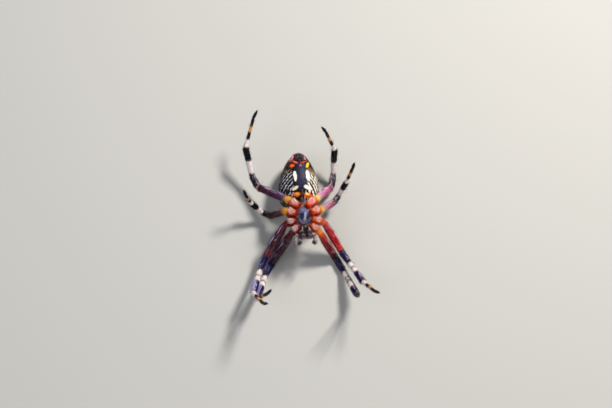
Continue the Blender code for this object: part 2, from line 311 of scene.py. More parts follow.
def wrapped_ball(node, rows, columns, coat, relax, sculpt=None):
    """A fine skin laid on a solid from inside, sunk by the depth of its coat."""
    low, high = box_mm(node)
    middle, half = (low + high) / 2, (high - low) / 2
    surface = surface_of(node)
    shape = ball(rows, columns)
    for vertex in shape.verts:
        way = Vector(vertex.co[i] * half[i] for i in range(3)).normalized()
        hit, normal, _, _ = surface.ray_cast(middle, way)
        vertex.co = hit - normal * coat
    axes = {"use_axis_x": True, "use_axis_y": True, "use_axis_z": True}
    for _ in range(relax):
        bmesh.ops.smooth_vert(shape, verts=shape.verts, factor=0.5, **axes)
    shape.normal_update()
    if sculpt:
        moved = [vertex.co + vertex.normal * sculpt(vertex.co) for vertex in shape.verts]
        for vertex, point in zip(shape.verts, moved):
            vertex.co = point
    return shape


# %% Turned shapes and joining
def lathe(profile, sides, place=(0, 0, 0), way=(0, 0, 1)):
    """Spins a (radius, height) outline about an axis that starts at a place."""
    shape = bmesh.new()
    points = [shape.verts.new((radius, 0, height)) for radius, height in profile]
    edges = [shape.edges.new(pair) for pair in zip(points, points[1:])]
    bmesh.ops.spin(
        shape, geom=points + edges, axis=(0, 0, 1), cent=(0, 0, 0), steps=sides,
        angle=math.tau, use_merge=True,
    )
    bmesh.ops.remove_doubles(shape, verts=shape.verts, dist=WELD_MM)

    def grid_place(vertex):
        radius = math.hypot(vertex.co.x, vertex.co.y)
        away = [math.hypot(radius - r, vertex.co.z - h) for r, h in profile]
        return away.index(min(away)), turn_number(vertex, sides)
    shape = settled(shape, grid_place)
    bmesh.ops.recalc_face_normals(shape, faces=shape.faces)
    chart, lie = hair_layers(shape)
    tall = max(height for _, height in profile)
    for vertex in shape.verts:
        x, y, z = vertex.co
        vertex[chart] = Vector((x, y, min(max(z / tall, 0), 1)))
        vertex[lie] = Vector(way)
    turn = Vector(way).to_track_quat("Z", "Y").to_matrix()
    bmesh.ops.rotate(shape, verts=shape.verts, matrix=turn)
    bmesh.ops.translate(shape, verts=shape.verts, vec=place)
    return shape


def joined(shapes):
    """Several bmeshes as one, with the layers that hairs need."""
    whole = bmesh.new()
    hair_layers(whole)
    for shape in shapes:
        carrier = bpy.data.meshes.new("carrier")
        shape.to_mesh(carrier)
        shape.free()
        whole.from_mesh(carrier)
        bpy.data.meshes.remove(carrier)
    return whole


# %% [markdown]
# ## Tubes
# Legs, feelers, fangs and claws are all bent tubes. A flat grid is rolled up: one way along
# the grid runs down the tube, the other goes round it. Middles and radii come from a list of
# stations, evened out and softened so that bends are round and not kinked.

# %% Tube helper
END_RING_SHARE = 0.4
TUBE_WELD_MM = 0.0006


def softened(values, rounds):
    for _ in range(rounds):
        values[1:-1] = values[1:-1] * 0.5 + (values[:-2] + values[2:]) * 0.25
    return values


def tube_rings(stations, rings, soften):
    """Evenly spaced middles, radii, runs, directions and cross axes along a tube."""
    points = np.array([tuple(point) for point, _, _ in stations])
    gaps = np.linalg.norm(np.diff(points, axis=0), axis=1)
    walked = np.concatenate(([0], np.cumsum(gaps)))
    even = np.linspace(0, walked[-1], rings)
    middles = np.stack([np.interp(even, walked, points[:, i]) for i in range(3)], axis=1)
    middles = softened(middles, soften)
    radii = softened(np.interp(even, walked, [radius for _, radius, _ in stations]), soften)
    runs = np.interp(even, walked, [run for _, _, run in stations])
    ways = np.gradient(middles, axis=0)
    ways /= np.linalg.norm(ways, axis=1)[:, None]
    across = np.array([0.0, 0.0, 1.0])
    axes = []
    for way in ways:
        across = across - way * across.dot(way)
        across /= np.linalg.norm(across)
        axes.append((across, np.cross(way, across)))
    return middles, radii, runs, ways, axes


def tube(stations, rings, sides, soften=3, thickness=None):
    """A closed skin round a bent centre line; thickness can vary the radius with the run."""
    middles, radii, runs, ways, axes = tube_rings(stations, rings, soften)
    shape = bmesh.new()
    bmesh.ops.create_grid(shape, x_segments=rings - 1, y_segments=sides, size=1.0)
    run_layer = shape.verts.layers.float.new("run")
    top_layer = shape.verts.layers.float.new("top")
    chart, lie = hair_layers(shape)
    for vertex in shape.verts:
        ring = round((vertex.co.x + 1) / 2 * (rings - 1))
        angle = (vertex.co.y + 1) / 2 * math.tau
        radius = radii[ring]
        if thickness:
            radius *= thickness(runs[ring])
        if ring in (0, rings - 1):
            radius *= END_RING_SHARE
        first, second = axes[ring]
        offset = (first * math.cos(angle) + second * math.sin(angle)) * radius
        vertex.co = Vector(middles[ring] + offset)
        vertex[run_layer] = float(runs[ring])
        vertex[top_layer] = math.cos(angle)
        vertex[chart] = Vector((math.cos(angle), math.sin(angle), ring / (rings - 1)))
        vertex[lie] = Vector(ways[ring])
    bmesh.ops.remove_doubles(shape, verts=shape.verts, dist=TUBE_WELD_MM)
    open_rims = [edge for edge in shape.edges if edge.is_boundary]
    bmesh.ops.holes_fill(shape, edges=open_rims, sides=0)
    bmesh.ops.recalc_face_normals(shape, faces=shape.faces)
    return shape

# %% [markdown]
# ## Helpers for materials
# A node tree is easier to read when each node is one short call, so a small class gives the
# nodes short names. Effects that skins and their hairs share become node groups with named
# inputs: the fine relief, the leg's bands and streaks, and the abdomen's spots and lines.

# %% Material helpers
def color(code):
    """A linear colour from a six-digit screen colour."""
    parts = [int(code[i:i + 2], 16) / 255 for i in (0, 2, 4)]
    linear = [p / 12.92 if p <= 0.04045 else ((p + 0.055) / 1.055) ** 2.4 for p in parts]
    return (*linear, 1.0)


print("middle grey in linear light:", round(color("808080")[0], 3))


# %% Wiring class
class Wiring:
    """Short names for the nodes of one tree."""

    def __init__(self, tree):
        self.tree = tree

    def put(self, socket, value):
        if isinstance(value, bpy.types.NodeSocket):
            self.tree.links.new(value, socket)
        else:
            socket.default_value = value

    def add(self, kind, **settings):
        made = self.tree.nodes.new("ShaderNode" + kind)
        for key, value in settings.items():
            setattr(made, key, value)
        return made

    def math(self, operation, *values, clamp=False):
        made = self.add("Math", operation=operation, use_clamp=clamp)
        for socket, value in zip(made.inputs, values):
            self.put(socket, value)
        return made.outputs[0]

    def plus(self, first, second):
        return self.math("ADD", first, second)

    def minus(self, first, second):
        return self.math("SUBTRACT", first, second)

    def times(self, first, second):
        return self.math("MULTIPLY", first, second)

    def rest(self, share):
        """What a share leaves of one."""
        return self.minus(1.0, share)

    def vector(self, operation, *values):
        made = self.add("VectorMath", operation=operation)
        for socket, value in zip(made.inputs, values):
            self.put(socket, value)
        return made.outputs["Value" if operation in ("LENGTH", "DISTANCE") else "Vector"]

    def mix(self, share, first, second):
        made = self.add("Mix", data_type="RGBA")
        self.put(made.inputs[0], share)
        self.put(made.inputs[6], first)
        self.put(made.inputs[7], second)
        return made.outputs[2]

    def step(self, value, low, high):
        made = self.add("MapRange", interpolation_type="SMOOTHSTEP")
        self.put(made.inputs[0], value)
        self.put(made.inputs[1], low)
        self.put(made.inputs[2], high)
        return made.outputs[0]

    def window(self, value, opens, closes):
        """1 between two soft edges, each given by its start and its end."""
        return self.times(self.step(value, *opens), self.rest(self.step(value, *closes)))

    def noise(self, vector, scale, detail=3.0):
        made = self.add("TexNoise")
        self.put(made.inputs["Vector"], vector)
        self.put(made.inputs["Scale"], scale)
        self.put(made.inputs["Detail"], detail)
        return made.outputs["Fac"]

    def cells(self, vector, scale):
        made = self.add("TexVoronoi")
        self.put(made.inputs["Vector"], vector)
        self.put(made.inputs["Scale"], scale)
        return made.outputs["Distance"]

    def split(self, vector):
        made = self.add("SeparateXYZ")
        self.put(made.inputs[0], vector)
        return made.outputs

    def join(self, x, y, z):
        made = self.add("CombineXYZ")
        for socket, value in zip(made.inputs, (x, y, z)):
            self.put(socket, value)
        return made.outputs[0]

    def stored(self, name, output="Fac"):
        """What the points of a piece store under a name."""
        return self.add("Attribute", attribute_name=name).outputs[output]

    def object_mm(self):
        """Object coordinates in millimetres."""
        place = self.add("TexCoord").outputs["Object"]
        return self.vector("MULTIPLY", place, (1000, 1000, 1000))

    def ramp(self, value, stops):
        made = self.add("ValToRGB")
        elements = made.color_ramp.elements
        for element, (position, shade) in zip(elements, stops[:2]):
            element.position = position
            element.color = shade
        for position, shade in stops[2:]:
            elements.new(position).color = shade
        self.put(made.inputs[0], value)
        return made.outputs[0]

    def place_group(self, group, **inputs):
        made = self.add("Group")
        made.node_tree = group
        for key, value in inputs.items():
            self.put(made.inputs[key], value)
        return made.outputs


# %% New groups and materials
def new_group(name, inputs, outputs):
    """An empty node group: its tree, its wiring, its inputs and its output node."""
    tree = bpy.data.node_groups.new(name, "ShaderNodeTree")
    for key, kind in inputs.items():
        tree.interface.new_socket(key, in_out="INPUT", socket_type="NodeSocket" + kind)
    for key, kind in outputs.items():
        tree.interface.new_socket(key, in_out="OUTPUT", socket_type="NodeSocket" + kind)
    entry = tree.nodes.new("NodeGroupInput")
    leave = tree.nodes.new("NodeGroupOutput")
    return tree, Wiring(tree), entry.outputs, leave.inputs


def new_material(name, roughness, coat=0.0, coat_roughness=0.2, specular=0.5):
    material = bpy.data.materials.new(name)
    material.use_nodes = True
    shader = material.node_tree.nodes["Principled BSDF"]
    shader.inputs["Roughness"].default_value = roughness
    shader.inputs["Coat Weight"].default_value = coat
    shader.inputs["Coat Roughness"].default_value = coat_roughness
    shader.inputs["Specular IOR Level"].default_value = specular
    return material, Wiring(material.node_tree), shader.inputs


# %% [markdown]
# ## Fine relief
# A spider's shell is never smooth: each hair stands in a tiny socket, and the skin between
# the sockets is finely grained. One group gives that height, and each finish that uses it
# chooses its own grain size and depth.

# %% Relief group
PIT_EDGE = (0.05, 0.3)
PIT_SHARE = 0.6


def make_relief_group():
    inputs = {"Place": "Vector", "Grain": "Float", "Sockets": "Float"}
    tree, wires, entry, leave = new_group("fine_relief", inputs, {"Height": "Float"})
    grain = wires.noise(entry["Place"], entry["Grain"], 4.0)
    pits = wires.step(wires.cells(entry["Place"], entry["Sockets"]), *PIT_EDGE)
    wires.put(leave["Height"], wires.plus(grain, wires.times(pits, PIT_SHARE)))
    return tree


relief_group = make_relief_group()


def roughen(wires, shader, place, grain, sockets, strength, depth=0.02):
    """Feeds the fine relief into a material's Normal."""
    relief = wires.place_group(relief_group, Place=place, Grain=grain, Sockets=sockets)
    bump = wires.add("Bump")
    bump.inputs["Strength"].default_value = strength
    bump.inputs["Distance"].default_value = depth * MM
    wires.put(bump.inputs["Height"], relief["Height"])
    wires.put(shader["Normal"], bump.outputs["Normal"])


print("groups:", [group.name for group in bpy.data.node_groups])

# %% [markdown]
# ## The leg's bands
# All eight legs share one plan: a hairy hip, a ring, a long thigh in three shades, a joint
# band, a dark knee, a shin that is pale and then dark, and a black foot with a pale and a
# tan band. The hip is painted darker on its sides and near its ends: painted shade between
# the hips. The plan is drawn along "run", so a ramp of black and white steps says where each
# colour goes. Hip, ring, thigh, joint and dark bands have their own colours from leg to leg
# or from pair to pair, and only the two front pairs have a thin dark ring in the pale of
# the shin. One front leg is dark beyond it. Pale streaks lie over thighs and knees, and over
# the shins of the front pairs: pale hairs with a painted highlight, fullest on the lit side.

# %% Leg band group
LEG_RUN = 7.0
PALE_BANDS = ((4.1, 4.53), (5.02, 5.28))
RING_BANDS = ((4.30, 4.36),)
KNEE_BANDS = ((2.94, 3.05),)
ACCENT_BANDS = ((5.53, 5.74),)
HIP_END, RING_END, THIGH_END = 1.0, 2.0, 3.0
BAND_EDGE = 0.012
BAND_WOBBLE = 0.16
HIP_MIDDLE = 0.55
HIP_FADE = (0.38, 0.52)
TOP_FADE = (0.2, 0.9)
THIGH_START_FADE = (2.05, 2.45)
THIGH_END_FADE = (2.66, 2.86)
DARK_FOOT_FADE = (4.9, 5.0)


def band_ramp(wires, run, bands):
    """White inside each (start, end) stretch of the leg and black outside."""
    black, white = (0, 0, 0, 1), (1, 1, 1, 1)
    stops = []
    for start, end in bands:
        stops += [(start - BAND_EDGE, black), (start + BAND_EDGE, white)]
        stops += [(end - BAND_EDGE, white), (end + BAND_EDGE, black)]
    stops = [(position / LEG_RUN, shade) for position, shade in stops]
    return wires.ramp(wires.math("DIVIDE", run, LEG_RUN), stops)


def make_band_group():
    numbers = ("Run", "Top", "Ragged", "Thin Ring", "Foot Dark")
    shades = (
        "Hip", "Hip Side", "Ring", "Thigh Start", "Thigh Middle", "Thigh End", "Pale", "Dark",
        "Accent", "Knee",
    )
    inputs = {**dict.fromkeys(numbers, "Float"), **dict.fromkeys(shades, "Color")}
    tree, wires, entry, leave = new_group("leg_bands", inputs, {"Color": "Color"})
    wobble = wires.times(wires.minus(entry["Ragged"], 0.5), BAND_WOBBLE)
    run = wires.plus(entry["Run"], wobble)
    pale = band_ramp(wires, run, PALE_BANDS)
    thin = wires.times(band_ramp(wires, run, RING_BANDS), entry["Thin Ring"])
    pale = wires.math("SUBTRACT", pale, thin, clamp=True)
    shin = wires.mix(pale, entry["Dark"], entry["Pale"])
    shin = wires.mix(band_ramp(wires, run, ACCENT_BANDS), shin, entry["Accent"])
    foot = wires.times(wires.step(run, *DARK_FOOT_FADE), entry["Foot Dark"])
    shin = wires.mix(foot, shin, entry["Dark"])
    start = wires.step(run, *THIGH_START_FADE)
    thigh = wires.mix(start, entry["Thigh Start"], entry["Thigh Middle"])
    thigh = wires.mix(wires.step(run, *THIGH_END_FADE), thigh, entry["Thigh End"])
    # Painted shade: the hip takes its darker side colour away from the viewed top and near both
    # of its ends, where it meets its neighbours.
    under = wires.step(wires.plus(entry["Top"], wobble), *TOP_FADE)
    ends = wires.math("ABSOLUTE", wires.minus(run, HIP_MIDDLE))
    under = wires.times(under, wires.rest(wires.step(ends, *HIP_FADE)))
    hip = wires.mix(under, entry["Hip Side"], entry["Hip"])
    hip = wires.mix(wires.step(run, HIP_END - 0.1, HIP_END + 0.15), hip, entry["Ring"])
    upper = wires.mix(wires.step(run, RING_END - 0.1, RING_END + 0.12), hip, thigh)
    whole = wires.mix(wires.step(run, THIGH_END - 0.02, THIGH_END + 0.03), upper, shin)
    knee = band_ramp(wires, entry["Run"], KNEE_BANDS)
    wires.put(leave["Color"], wires.mix(knee, whole, entry["Knee"]))
    return tree


# %% Leg streak group
STREAKS_ROUND = 6.5
STREAKS_ALONG = 4.0
STREAK_WAVES = 9.0
STREAK_SWAY = 0.1
STREAK_EDGE = 0.05
# Where round the leg they are fullest, on its lit side as a painted highlight, how far they
# reach, and how fast they thin out.
LIT_SIDE_TURN = 0.85
FULL_REACH = 1.25
THINNING = 0.14
# Stretches of the leg that carry them, each with the start and end of its two soft edges.
STREAKY_SHIN = ((4.45, 4.55), (4.98, 5.06))
STREAKY_UPPER = ((2.0, 2.15), (4.0, 4.1))


def make_streak_group():
    """Wavy pale streaks along thigh, knee and shin: pale hairs and painted highlight, fullest
    on the lit viewed side to the rear.
    """
    inputs = {
        "Chart": "Vector", "Run": "Float", "Side": "Float", "Seed": "Float", "Start": "Float",
        "Shin": "Float",
    }
    tree, wires, entry, leave = new_group("leg_streaks", inputs, {"Mask": "Float"})
    x, y, _ = wires.split(entry["Chart"])
    turn = wires.math("ARCTAN2", wires.times(y, entry["Side"]), x)
    wave = wires.math("SINE", wires.times(entry["Run"], STREAK_WAVES))
    across = wires.times(wires.plus(turn, wires.times(wave, STREAK_SWAY)), STREAKS_ROUND)
    along = wires.times(entry["Run"], STREAKS_ALONG)
    grain = wires.noise(wires.join(across, along, entry["Seed"]), 1.0, 1.0)
    aside = wires.math("DIVIDE", wires.minus(turn, LIT_SIDE_TURN), FULL_REACH)
    thinner = wires.times(wires.times(aside, aside), THINNING)
    shin = wires.times(wires.window(entry["Run"], *STREAKY_SHIN), entry["Shin"])
    edge = wires.minus(wires.plus(entry["Start"], thinner), wires.times(shin, 0.1))
    streaks = wires.step(grain, edge, wires.plus(edge, STREAK_EDGE))
    upper = wires.window(entry["Run"], *STREAKY_UPPER)
    shown = wires.math("MAXIMUM", upper, wires.step(shin, 0.0, 0.4))
    wires.put(leave["Mask"], wires.times(streaks, shown))
    return tree


band_group = make_band_group()
streak_group = make_streak_group()
print("groups:", [group.name for group in bpy.data.node_groups])

# %% [markdown]
# ## The leg's colours
# The thighs run from dark maroon on the front left leg to pink on the last right one, and
# each pair has its own dark bands. Part of this is painted light: the right legs are painted
# lighter and redder, as if lit through from the right, and the left legs darker, as painted
# shade. The violet on the last left thigh and the lilac of the left legs' pale hairs are
# painted sky reflection. Tables hold the colours, so that every leg can be tuned alone. Skin
# and hairs use the same bands, and the hairs read them at their roots.

# %% Leg colours
# Screen colours: hip, hip's side in painted shade, ring, thigh start, thigh middle, thigh end,
# pale hairs that also give the streaks' painted highlight.
LEG_COLORS = {
    ("left", 1): ("a83e48", "3e0a10", "521218", "420a14", "320408", "1e0205", "c8bcf4"),
    ("left", 2): ("b4341c", "480a08", "601614", "460a1a", "3c060e", "661406", "d4c8f4"),
    ("left", 3): ("e2561c", "a01c08", "eaa838", "4e1a28", "420e16", "26080c", "dccce4"),
    ("left", 4): ("ea5e1c", "a61e08", "eeb03a", "50265a", "481236", "34081a", "dcc6e6"),
    ("right", 1): ("e46a30", "b03010", "ee8428", "ac220a", "700410", "2a0306", "f6d4de"),
    ("right", 2): ("ee6a30", "b8300e", "d86440", "ac1c38", "b20a12", "d4240a", "fae0ec"),
    ("right", 3): ("f4621e", "b82a08", "eebc56", "b87a9c", "a64a6c", "70283c", "f4e0f0"),
    ("right", 4): ("f85c18", "bc2006", "f2d078", "c886ae", "b4447c", "8c2856", "f4dcee"),
}
# Screen colours of each pair: its dark bands and its knee joint.
PAIR_COLORS = {
    1: ("0c0a40", "1c0c20"),
    2: ("0e0c44", "22101e"),
    3: ("0a080c", "8a5a58"),
    4: ("0a080e", "e6b0aa"),
}
# The leg that is dark beyond its pale band, how dark, and how much further the band reaches.
DARK_FOOT = ("right", 1)
FOOT_DARKNESS = 0.9
LONGER_PALE = 0.17
# The noise level where streaks start: a higher one leaves fewer of them.
STREAK_STARTS = {
    ("left", 1): 0.57, ("left", 2): 0.54, ("left", 3): 0.55, ("left", 4): 0.55,
    ("right", 1): 0.57, ("right", 2): 0.54, ("right", 3): 0.49, ("right", 4): 0.49,
}
# How streaky the dark shin band is, on the legs where it is streaky at all.
SHIN_STREAKS = {("left", 1): 1.6, ("left", 2): 1.6, ("right", 1): 0.4, ("right", 2): 0.4}
THIN_RINGS = {1: 0.8, 2: 0.6, 3: 0.0, 4: 0.0}
STREAK_SHARE = 0.8
FOOT_FADE = (5.05, 5.3)
PALE_BAND = color("f6e8dc")
# Pale band tinted lilac: painted sky reflection.
LILAC_SKY_REFLECTION = color("e8dcf2")
ACCENT_BAND = color("d69a62")
FOOT_BLACK = color("0b090c")
MOTTLE_DARK = (0.02, 0.008, 0.012, 1)
GLINT_PALE = color("fff2f2")


# %% Leg materials
def band_color(wires, leg, run, top, ragged, pale):
    """The leg's bands and, over them, its streaks of pale hair and painted highlight."""
    if leg == DARK_FOOT:
        longer = wires.times(wires.step(run, 4.36, 4.5), LONGER_PALE)
        run = wires.minus(run, longer)
    # The last colour is the pale hairs' colour, which also paints the streaks' highlight.
    hip, hip_shade, ring, start, middle, end, hair = (color(code) for code in LEG_COLORS[leg])
    dark, knee = (color(code) for code in PAIR_COLORS[leg[1]])
    dark = wires.mix(wires.step(run, *FOOT_FADE), dark, FOOT_BLACK)
    bands = wires.place_group(
        band_group, Run=run, Top=top, Ragged=ragged, Hip=hip, Ring=ring, Pale=pale, Dark=dark,
        Accent=ACCENT_BAND, Knee=knee,
        **{
            "Hip Side": hip_shade, "Thigh Start": start, "Thigh Middle": middle,
            "Thigh End": end, "Thin Ring": THIN_RINGS[leg[1]],
            "Foot Dark": FOOT_DARKNESS if leg == DARK_FOOT else 0.0,
        },
    )["Color"]
    streaks = wires.place_group(
        streak_group, Chart=wires.stored("chart", "Vector"), Run=run,
        Side=1.0 if leg[0] == "left" else -1.0, Seed=3.7 * leg[1], Start=STREAK_STARTS[leg],
        Shin=SHIN_STREAKS.get(leg, 0.0),
    )["Mask"]
    return wires.mix(wires.times(streaks, STREAK_SHARE), bands, hair)


def leg_skin_material(leg):
    material, wires, shader = new_material(
        f"leg_skin_{leg[1]}_{leg[0]}", 0.36, coat=0.08, specular=0.2
    )
    place = wires.object_mm()
    run = wires.stored("run")
    top = wires.stored("top")
    ragged = wires.noise(place, 5.0, 2.0)
    base = band_color(wires, leg, run, top, ragged, PALE_BAND)
    mottle = wires.step(wires.noise(place, 9.0, 4.0), 0.35, 0.75)
    base = wires.mix(wires.times(mottle, 0.3), base, MOTTLE_DARK)
    wires.put(shader["Base Color"], base)
    wires.put(shader["Roughness"], wires.plus(wires.times(mottle, 0.2), 0.28))
    shader["Subsurface Weight"].default_value = 0.15
    shader["Subsurface Scale"].default_value = 0.3 * MM
    shader["Subsurface Radius"].default_value = (1.0, 0.3, 0.2)
    roughen(wires, shader, place, 30.0, 12.0, 0.5)
    return material


def leg_hair_material(leg):
    """Hairs repeat the skin's bands from the run of their roots; a share of them is pale."""
    material, wires, shader = new_material(
        f"leg_hair_{leg[1]}_{leg[0]}", 0.5, specular=0.08
    )
    run = wires.stored("run")
    top = wires.stored("top")
    shade = wires.stored("shade")
    ragged = wires.plus(wires.times(shade, 0.4), 0.3)
    # A share of the pale hairs takes a lilac tint: painted sky reflection.
    pale = wires.mix(shade, PALE_BAND, LILAC_SKY_REFLECTION)
    base = band_color(wires, leg, run, top, ragged, pale)
    glint = wires.stored("glint")
    hip = wires.step(run, 1.0, 1.1)
    glint_color = wires.mix(hip, GLINT_PALE, color(LEG_COLORS[leg][6]))
    wires.put(shader["Base Color"], wires.mix(glint, base, glint_color))
    return material


print("leg colour plans:", len(LEG_COLORS))

# %% [markdown]
# ## Following a leg through its four solids
# A leg's skin has to run through four solids without a seam. Where two solids meet, their
# facing ends give the joint's middle. Between two joints the solid is sliced like bread, and
# each slice gives a middle and a radius. Knee and ankle bends inside one solid show up in the
# slices, so the skin follows them too.

# %% Leg centre lines
LEG_SOLIDS = ("coxa", "femur", "patella_tibia", "metatarsus_tarsus")
SLICES = {"coxa": 7, "femur": 9, "patella_tibia": 13, "metatarsus_tarsus": 13}
TOUCHING = 0.05
END_DEPTH = 0.12
SLICED_SHARE = 0.86
FIRST_SLICE = 0.07
HIP_START_SHARE = 0.92
TOE_RADIUS = 0.12
# The share of a solid's length where its first segment ends; the thigh is a single segment.
INNER_JOINT = {"coxa": 0.73, "femur": None, "patella_tibia": 0.285, "metatarsus_tarsus": 0.765}


def meeting_point(first, second):
    """The middle of the hairline between two neighbouring solids."""
    middle, area = Vector(), 0.0
    for node, other in ((first, second), (second, first)):
        surface = surface_of(other)
        shape = solid_copy(node)
        for face in shape.faces:
            centre = face.calc_center_median()
            if surface.find_nearest(centre)[3] < TOUCHING:
                middle += centre * face.calc_area()
                area += face.calc_area()
        shape.free()
    return middle / area


def far_end(node, start):
    """The middle of the end of a solid that lies farthest from a point."""
    shape = solid_copy(node)
    middle = sum((v.co for v in shape.verts), Vector()) / len(shape.verts)
    way = (middle - start).normalized()
    reach = max((v.co - start).dot(way) for v in shape.verts)
    last = [v.co.copy() for v in shape.verts if (v.co - start).dot(way) > reach - END_DEPTH]
    shape.free()
    return sum(last, Vector()) / len(last)


def slice_middle(shape, point, way):
    """Cuts a solid across and gives the cut's middle and its mean radius."""
    cut = shape.copy()
    everything = cut.verts[:] + cut.edges[:] + cut.faces[:]
    result = bmesh.ops.bisect_plane(
        cut, geom=everything, dist=1e-5, plane_co=point, plane_no=way
    )
    rim = [v.co.copy() for v in result["geom_cut"] if isinstance(v, bmesh.types.BMVert)]
    cut.free()
    middle = sum(rim, Vector()) / len(rim)
    return middle, sum((co - middle).length for co in rim) / len(rim)


def leg_stations(leg):
    """(middle, radius, run) along a leg, from the hip's start to the claw."""
    side, pair = leg
    nodes = [f"{part}_{pair}_{side}" for part in LEG_SOLIDS]
    joints = [meeting_point(nodes[i], nodes[i + 1]) for i in range(3)]
    ends = [far_end(nodes[0], joints[0])] + joints + [far_end(nodes[3], joints[2])]
    segment = 0
    stations = []
    for index, node in enumerate(nodes):
        part = LEG_SOLIDS[index]
        start, end = ends[index], ends[index + 1]
        way = (end - start).normalized()
        shape = solid_copy(node)
        inner = INNER_JOINT[part]
        count = SLICES[part]
        for step in range(count):
            share = (step + 0.5) / count * SLICED_SHARE + FIRST_SLICE
            middle, radius = slice_middle(shape, start.lerp(end, share), way)
            if inner is None:
                run = segment + share
            elif share < inner:
                run = segment + share / inner
            else:
                run = segment + 1 + (share - inner) / (1 - inner)
            stations.append((middle, radius, run))
        shape.free()
        segment += 1 if inner is None else 2
        if index < 3:
            stations.append((ends[index + 1], stations[-1][1], float(segment)))
    first = (ends[0], stations[0][1] * HIP_START_SHARE, 0.0)
    last = (ends[4], TOE_RADIUS, LEG_RUN)
    return [first] + stations + [last]


legs = {(side, pair): leg_stations((side, pair)) for side, _ in SIDES for pair in PAIRS}
print("stations per leg:", {len(stations) for stations in legs.values()})

# %% [markdown]
# ## Skinning a leg
# Real segments are pinched at every joint and swell just before it, and that small rhythm
# makes a leg look jointed instead of piped. One closed skin runs from hip to claw and
# replaces the four solids. It stays a little inside them, so that the short coat ends near
# their surface.

# %% Leg skins
LEG_SIDES = 20
LEG_RINGS = 220
LEG_COAT = 0.94
FOOT_COAT = 0.86
JOINT_PINCH = 0.2
JOINT_SWELL = 0.06
# Where the coat gets thinner, how far from the tube's ends nothing is shaped, and the place
# and width of a swelling and the width of a pinch, in millimetres from a joint.
FOOT_COAT_FADE = (4.8, 5.3)
PLAIN_ENDS = 0.3
SWELL_PLACE = 0.34
SWELL_WIDTH = 0.2
PINCH_WIDTH = 0.1
# Typical lengths of a leg's seven segments, from hip to claw.
SEGMENT_MM = (1.5, 0.55, 5.4, 1.9, 4.6, 4.4, 1.4)


def leg_thickness(run):
    """How much a segment narrows or swells near its two ends."""
    segment = min(int(run), 6)
    place = run - segment
    length = SEGMENT_MM[segment]
    near = min(place, 1 - place) * length
    coat = blend(LEG_COAT, FOOT_COAT, smooth_share(*FOOT_COAT_FADE, run))
    if run < PLAIN_ENDS or run > LEG_RUN - PLAIN_ENDS:
        return coat
    swell = 1 + JOINT_SWELL * bump_at((1 - place) * length - SWELL_PLACE, SWELL_WIDTH)
    return coat * (1 - JOINT_PINCH * bump_at(near, PINCH_WIDTH)) * swell


leg_skins = {}
for leg in legs:
    side, pair = leg
    solids = [f"{part}_{pair}_{side}" for part in LEG_SOLIDS]
    shape = tube(legs[leg], LEG_RINGS, LEG_SIDES, 4, leg_thickness)
    leg_skins[leg] = finish_piece(
        f"skin_leg_{pair}_{side}", shape, leg_skin_material(leg), solids
    )
print("leg skin faces:", sum(len(skin.data.polygons) for skin in leg_skins.values()))

# %% [markdown]
# ## The abdomen's marks
# Underneath, the abdomen is blue-black with orange lung covers, four cream bars, an orange
# and a yellow spot, and a coral collar round the spinnerets, with painted rose highlights on
# its rims. Thin pale lines slant along its sides. On the back it has the leaf mark of its
# kind: a scalloped cream band with a dark middle and a black edge.
# The marks live in the abdomen's own millimetres: x across, y to the rear, z to the
# underside. An oval group draws the bars and spots, so each is one short line.

# %% Abdomen mark groups
OVAL_SOFTNESS = 0.16


def make_oval_group():
    inputs = {
        "Place": "Vector", "Middle": "Vector", "Half Width": "Float", "Half Length": "Float",
        "Turn": "Float", "Softness": "Float",
    }
    tree, wires, entry, leave = new_group("oval_spot", inputs, {"Mask": "Float"})
    offset = wires.vector("SUBTRACT", entry["Place"], entry["Middle"])
    turned = wires.add("VectorRotate", rotation_type="Z_AXIS")
    wires.put(turned.inputs["Vector"], offset)
    wires.put(turned.inputs["Angle"], entry["Turn"])
    x, y, _ = wires.split(turned.outputs[0])
    across = wires.math("DIVIDE", x, entry["Half Width"])
    along = wires.math("DIVIDE", y, entry["Half Length"])
    reach = wires.vector("LENGTH", wires.join(across, along, 0.0))
    soft = entry["Softness"]
    near = wires.rest(soft)
    far = wires.plus(1.0, soft)
    wires.put(leave["Mask"], wires.rest(wires.step(reach, near, far)))
    return tree


oval_group = make_oval_group()


def oval_mask(wires, place, middle, half_width, half_length, turn, softness):
    """1 inside an oval on the underside; the turn is in degrees."""
    return wires.place_group(
        oval_group, Place=place, Middle=(*middle, 0), Softness=softness,
        Turn=math.radians(turn), **{"Half Width": half_width, "Half Length": half_length},
    )["Mask"]


# %% Abdomen colours and spots
CREAM = color("faf3e6")
IVORY = color("ece0bc")
INK = color("08070b")
BLUE_BLACK = color("15122e")
CORAL = color("cf4c3e")
# Pale rose: painted highlight on the collar.
ROSE_HIGHLIGHT = color("e2aebc")
MAROON = color("3c0a12")
ORANGE = color("ee5e14")
YELLOW = color("f8cf1e")
TAN = color("c89a5a")

# Each oval: middle x, middle y, half width, half length, turn in degrees, colour.
UNDERSIDE_OVALS = (
    (-0.77, -0.36, 0.26, 0.80, -6, CREAM),
    (1.14, -0.18, 0.29, 0.86, -8, CREAM),
    (-0.72, -2.10, 0.21, 0.50, 63, IVORY),
    (1.20, -1.94, 0.24, 0.66, -76, CREAM),
    (-0.52, -2.90, 0.54, 0.30, 0, color("e07418")),
    (1.30, -2.92, 0.66, 0.34, 0, color("ea5414")),
    (1.10, -2.78, 0.34, 0.16, 0, color("f2d24e")),
    (-0.44, -2.84, 0.26, 0.13, 0, color("eaa23a")),
    (-1.12, 1.46, 0.33, 0.33, 0, ORANGE),
    (1.20, 1.68, 0.22, 0.56, 18, YELLOW),
)
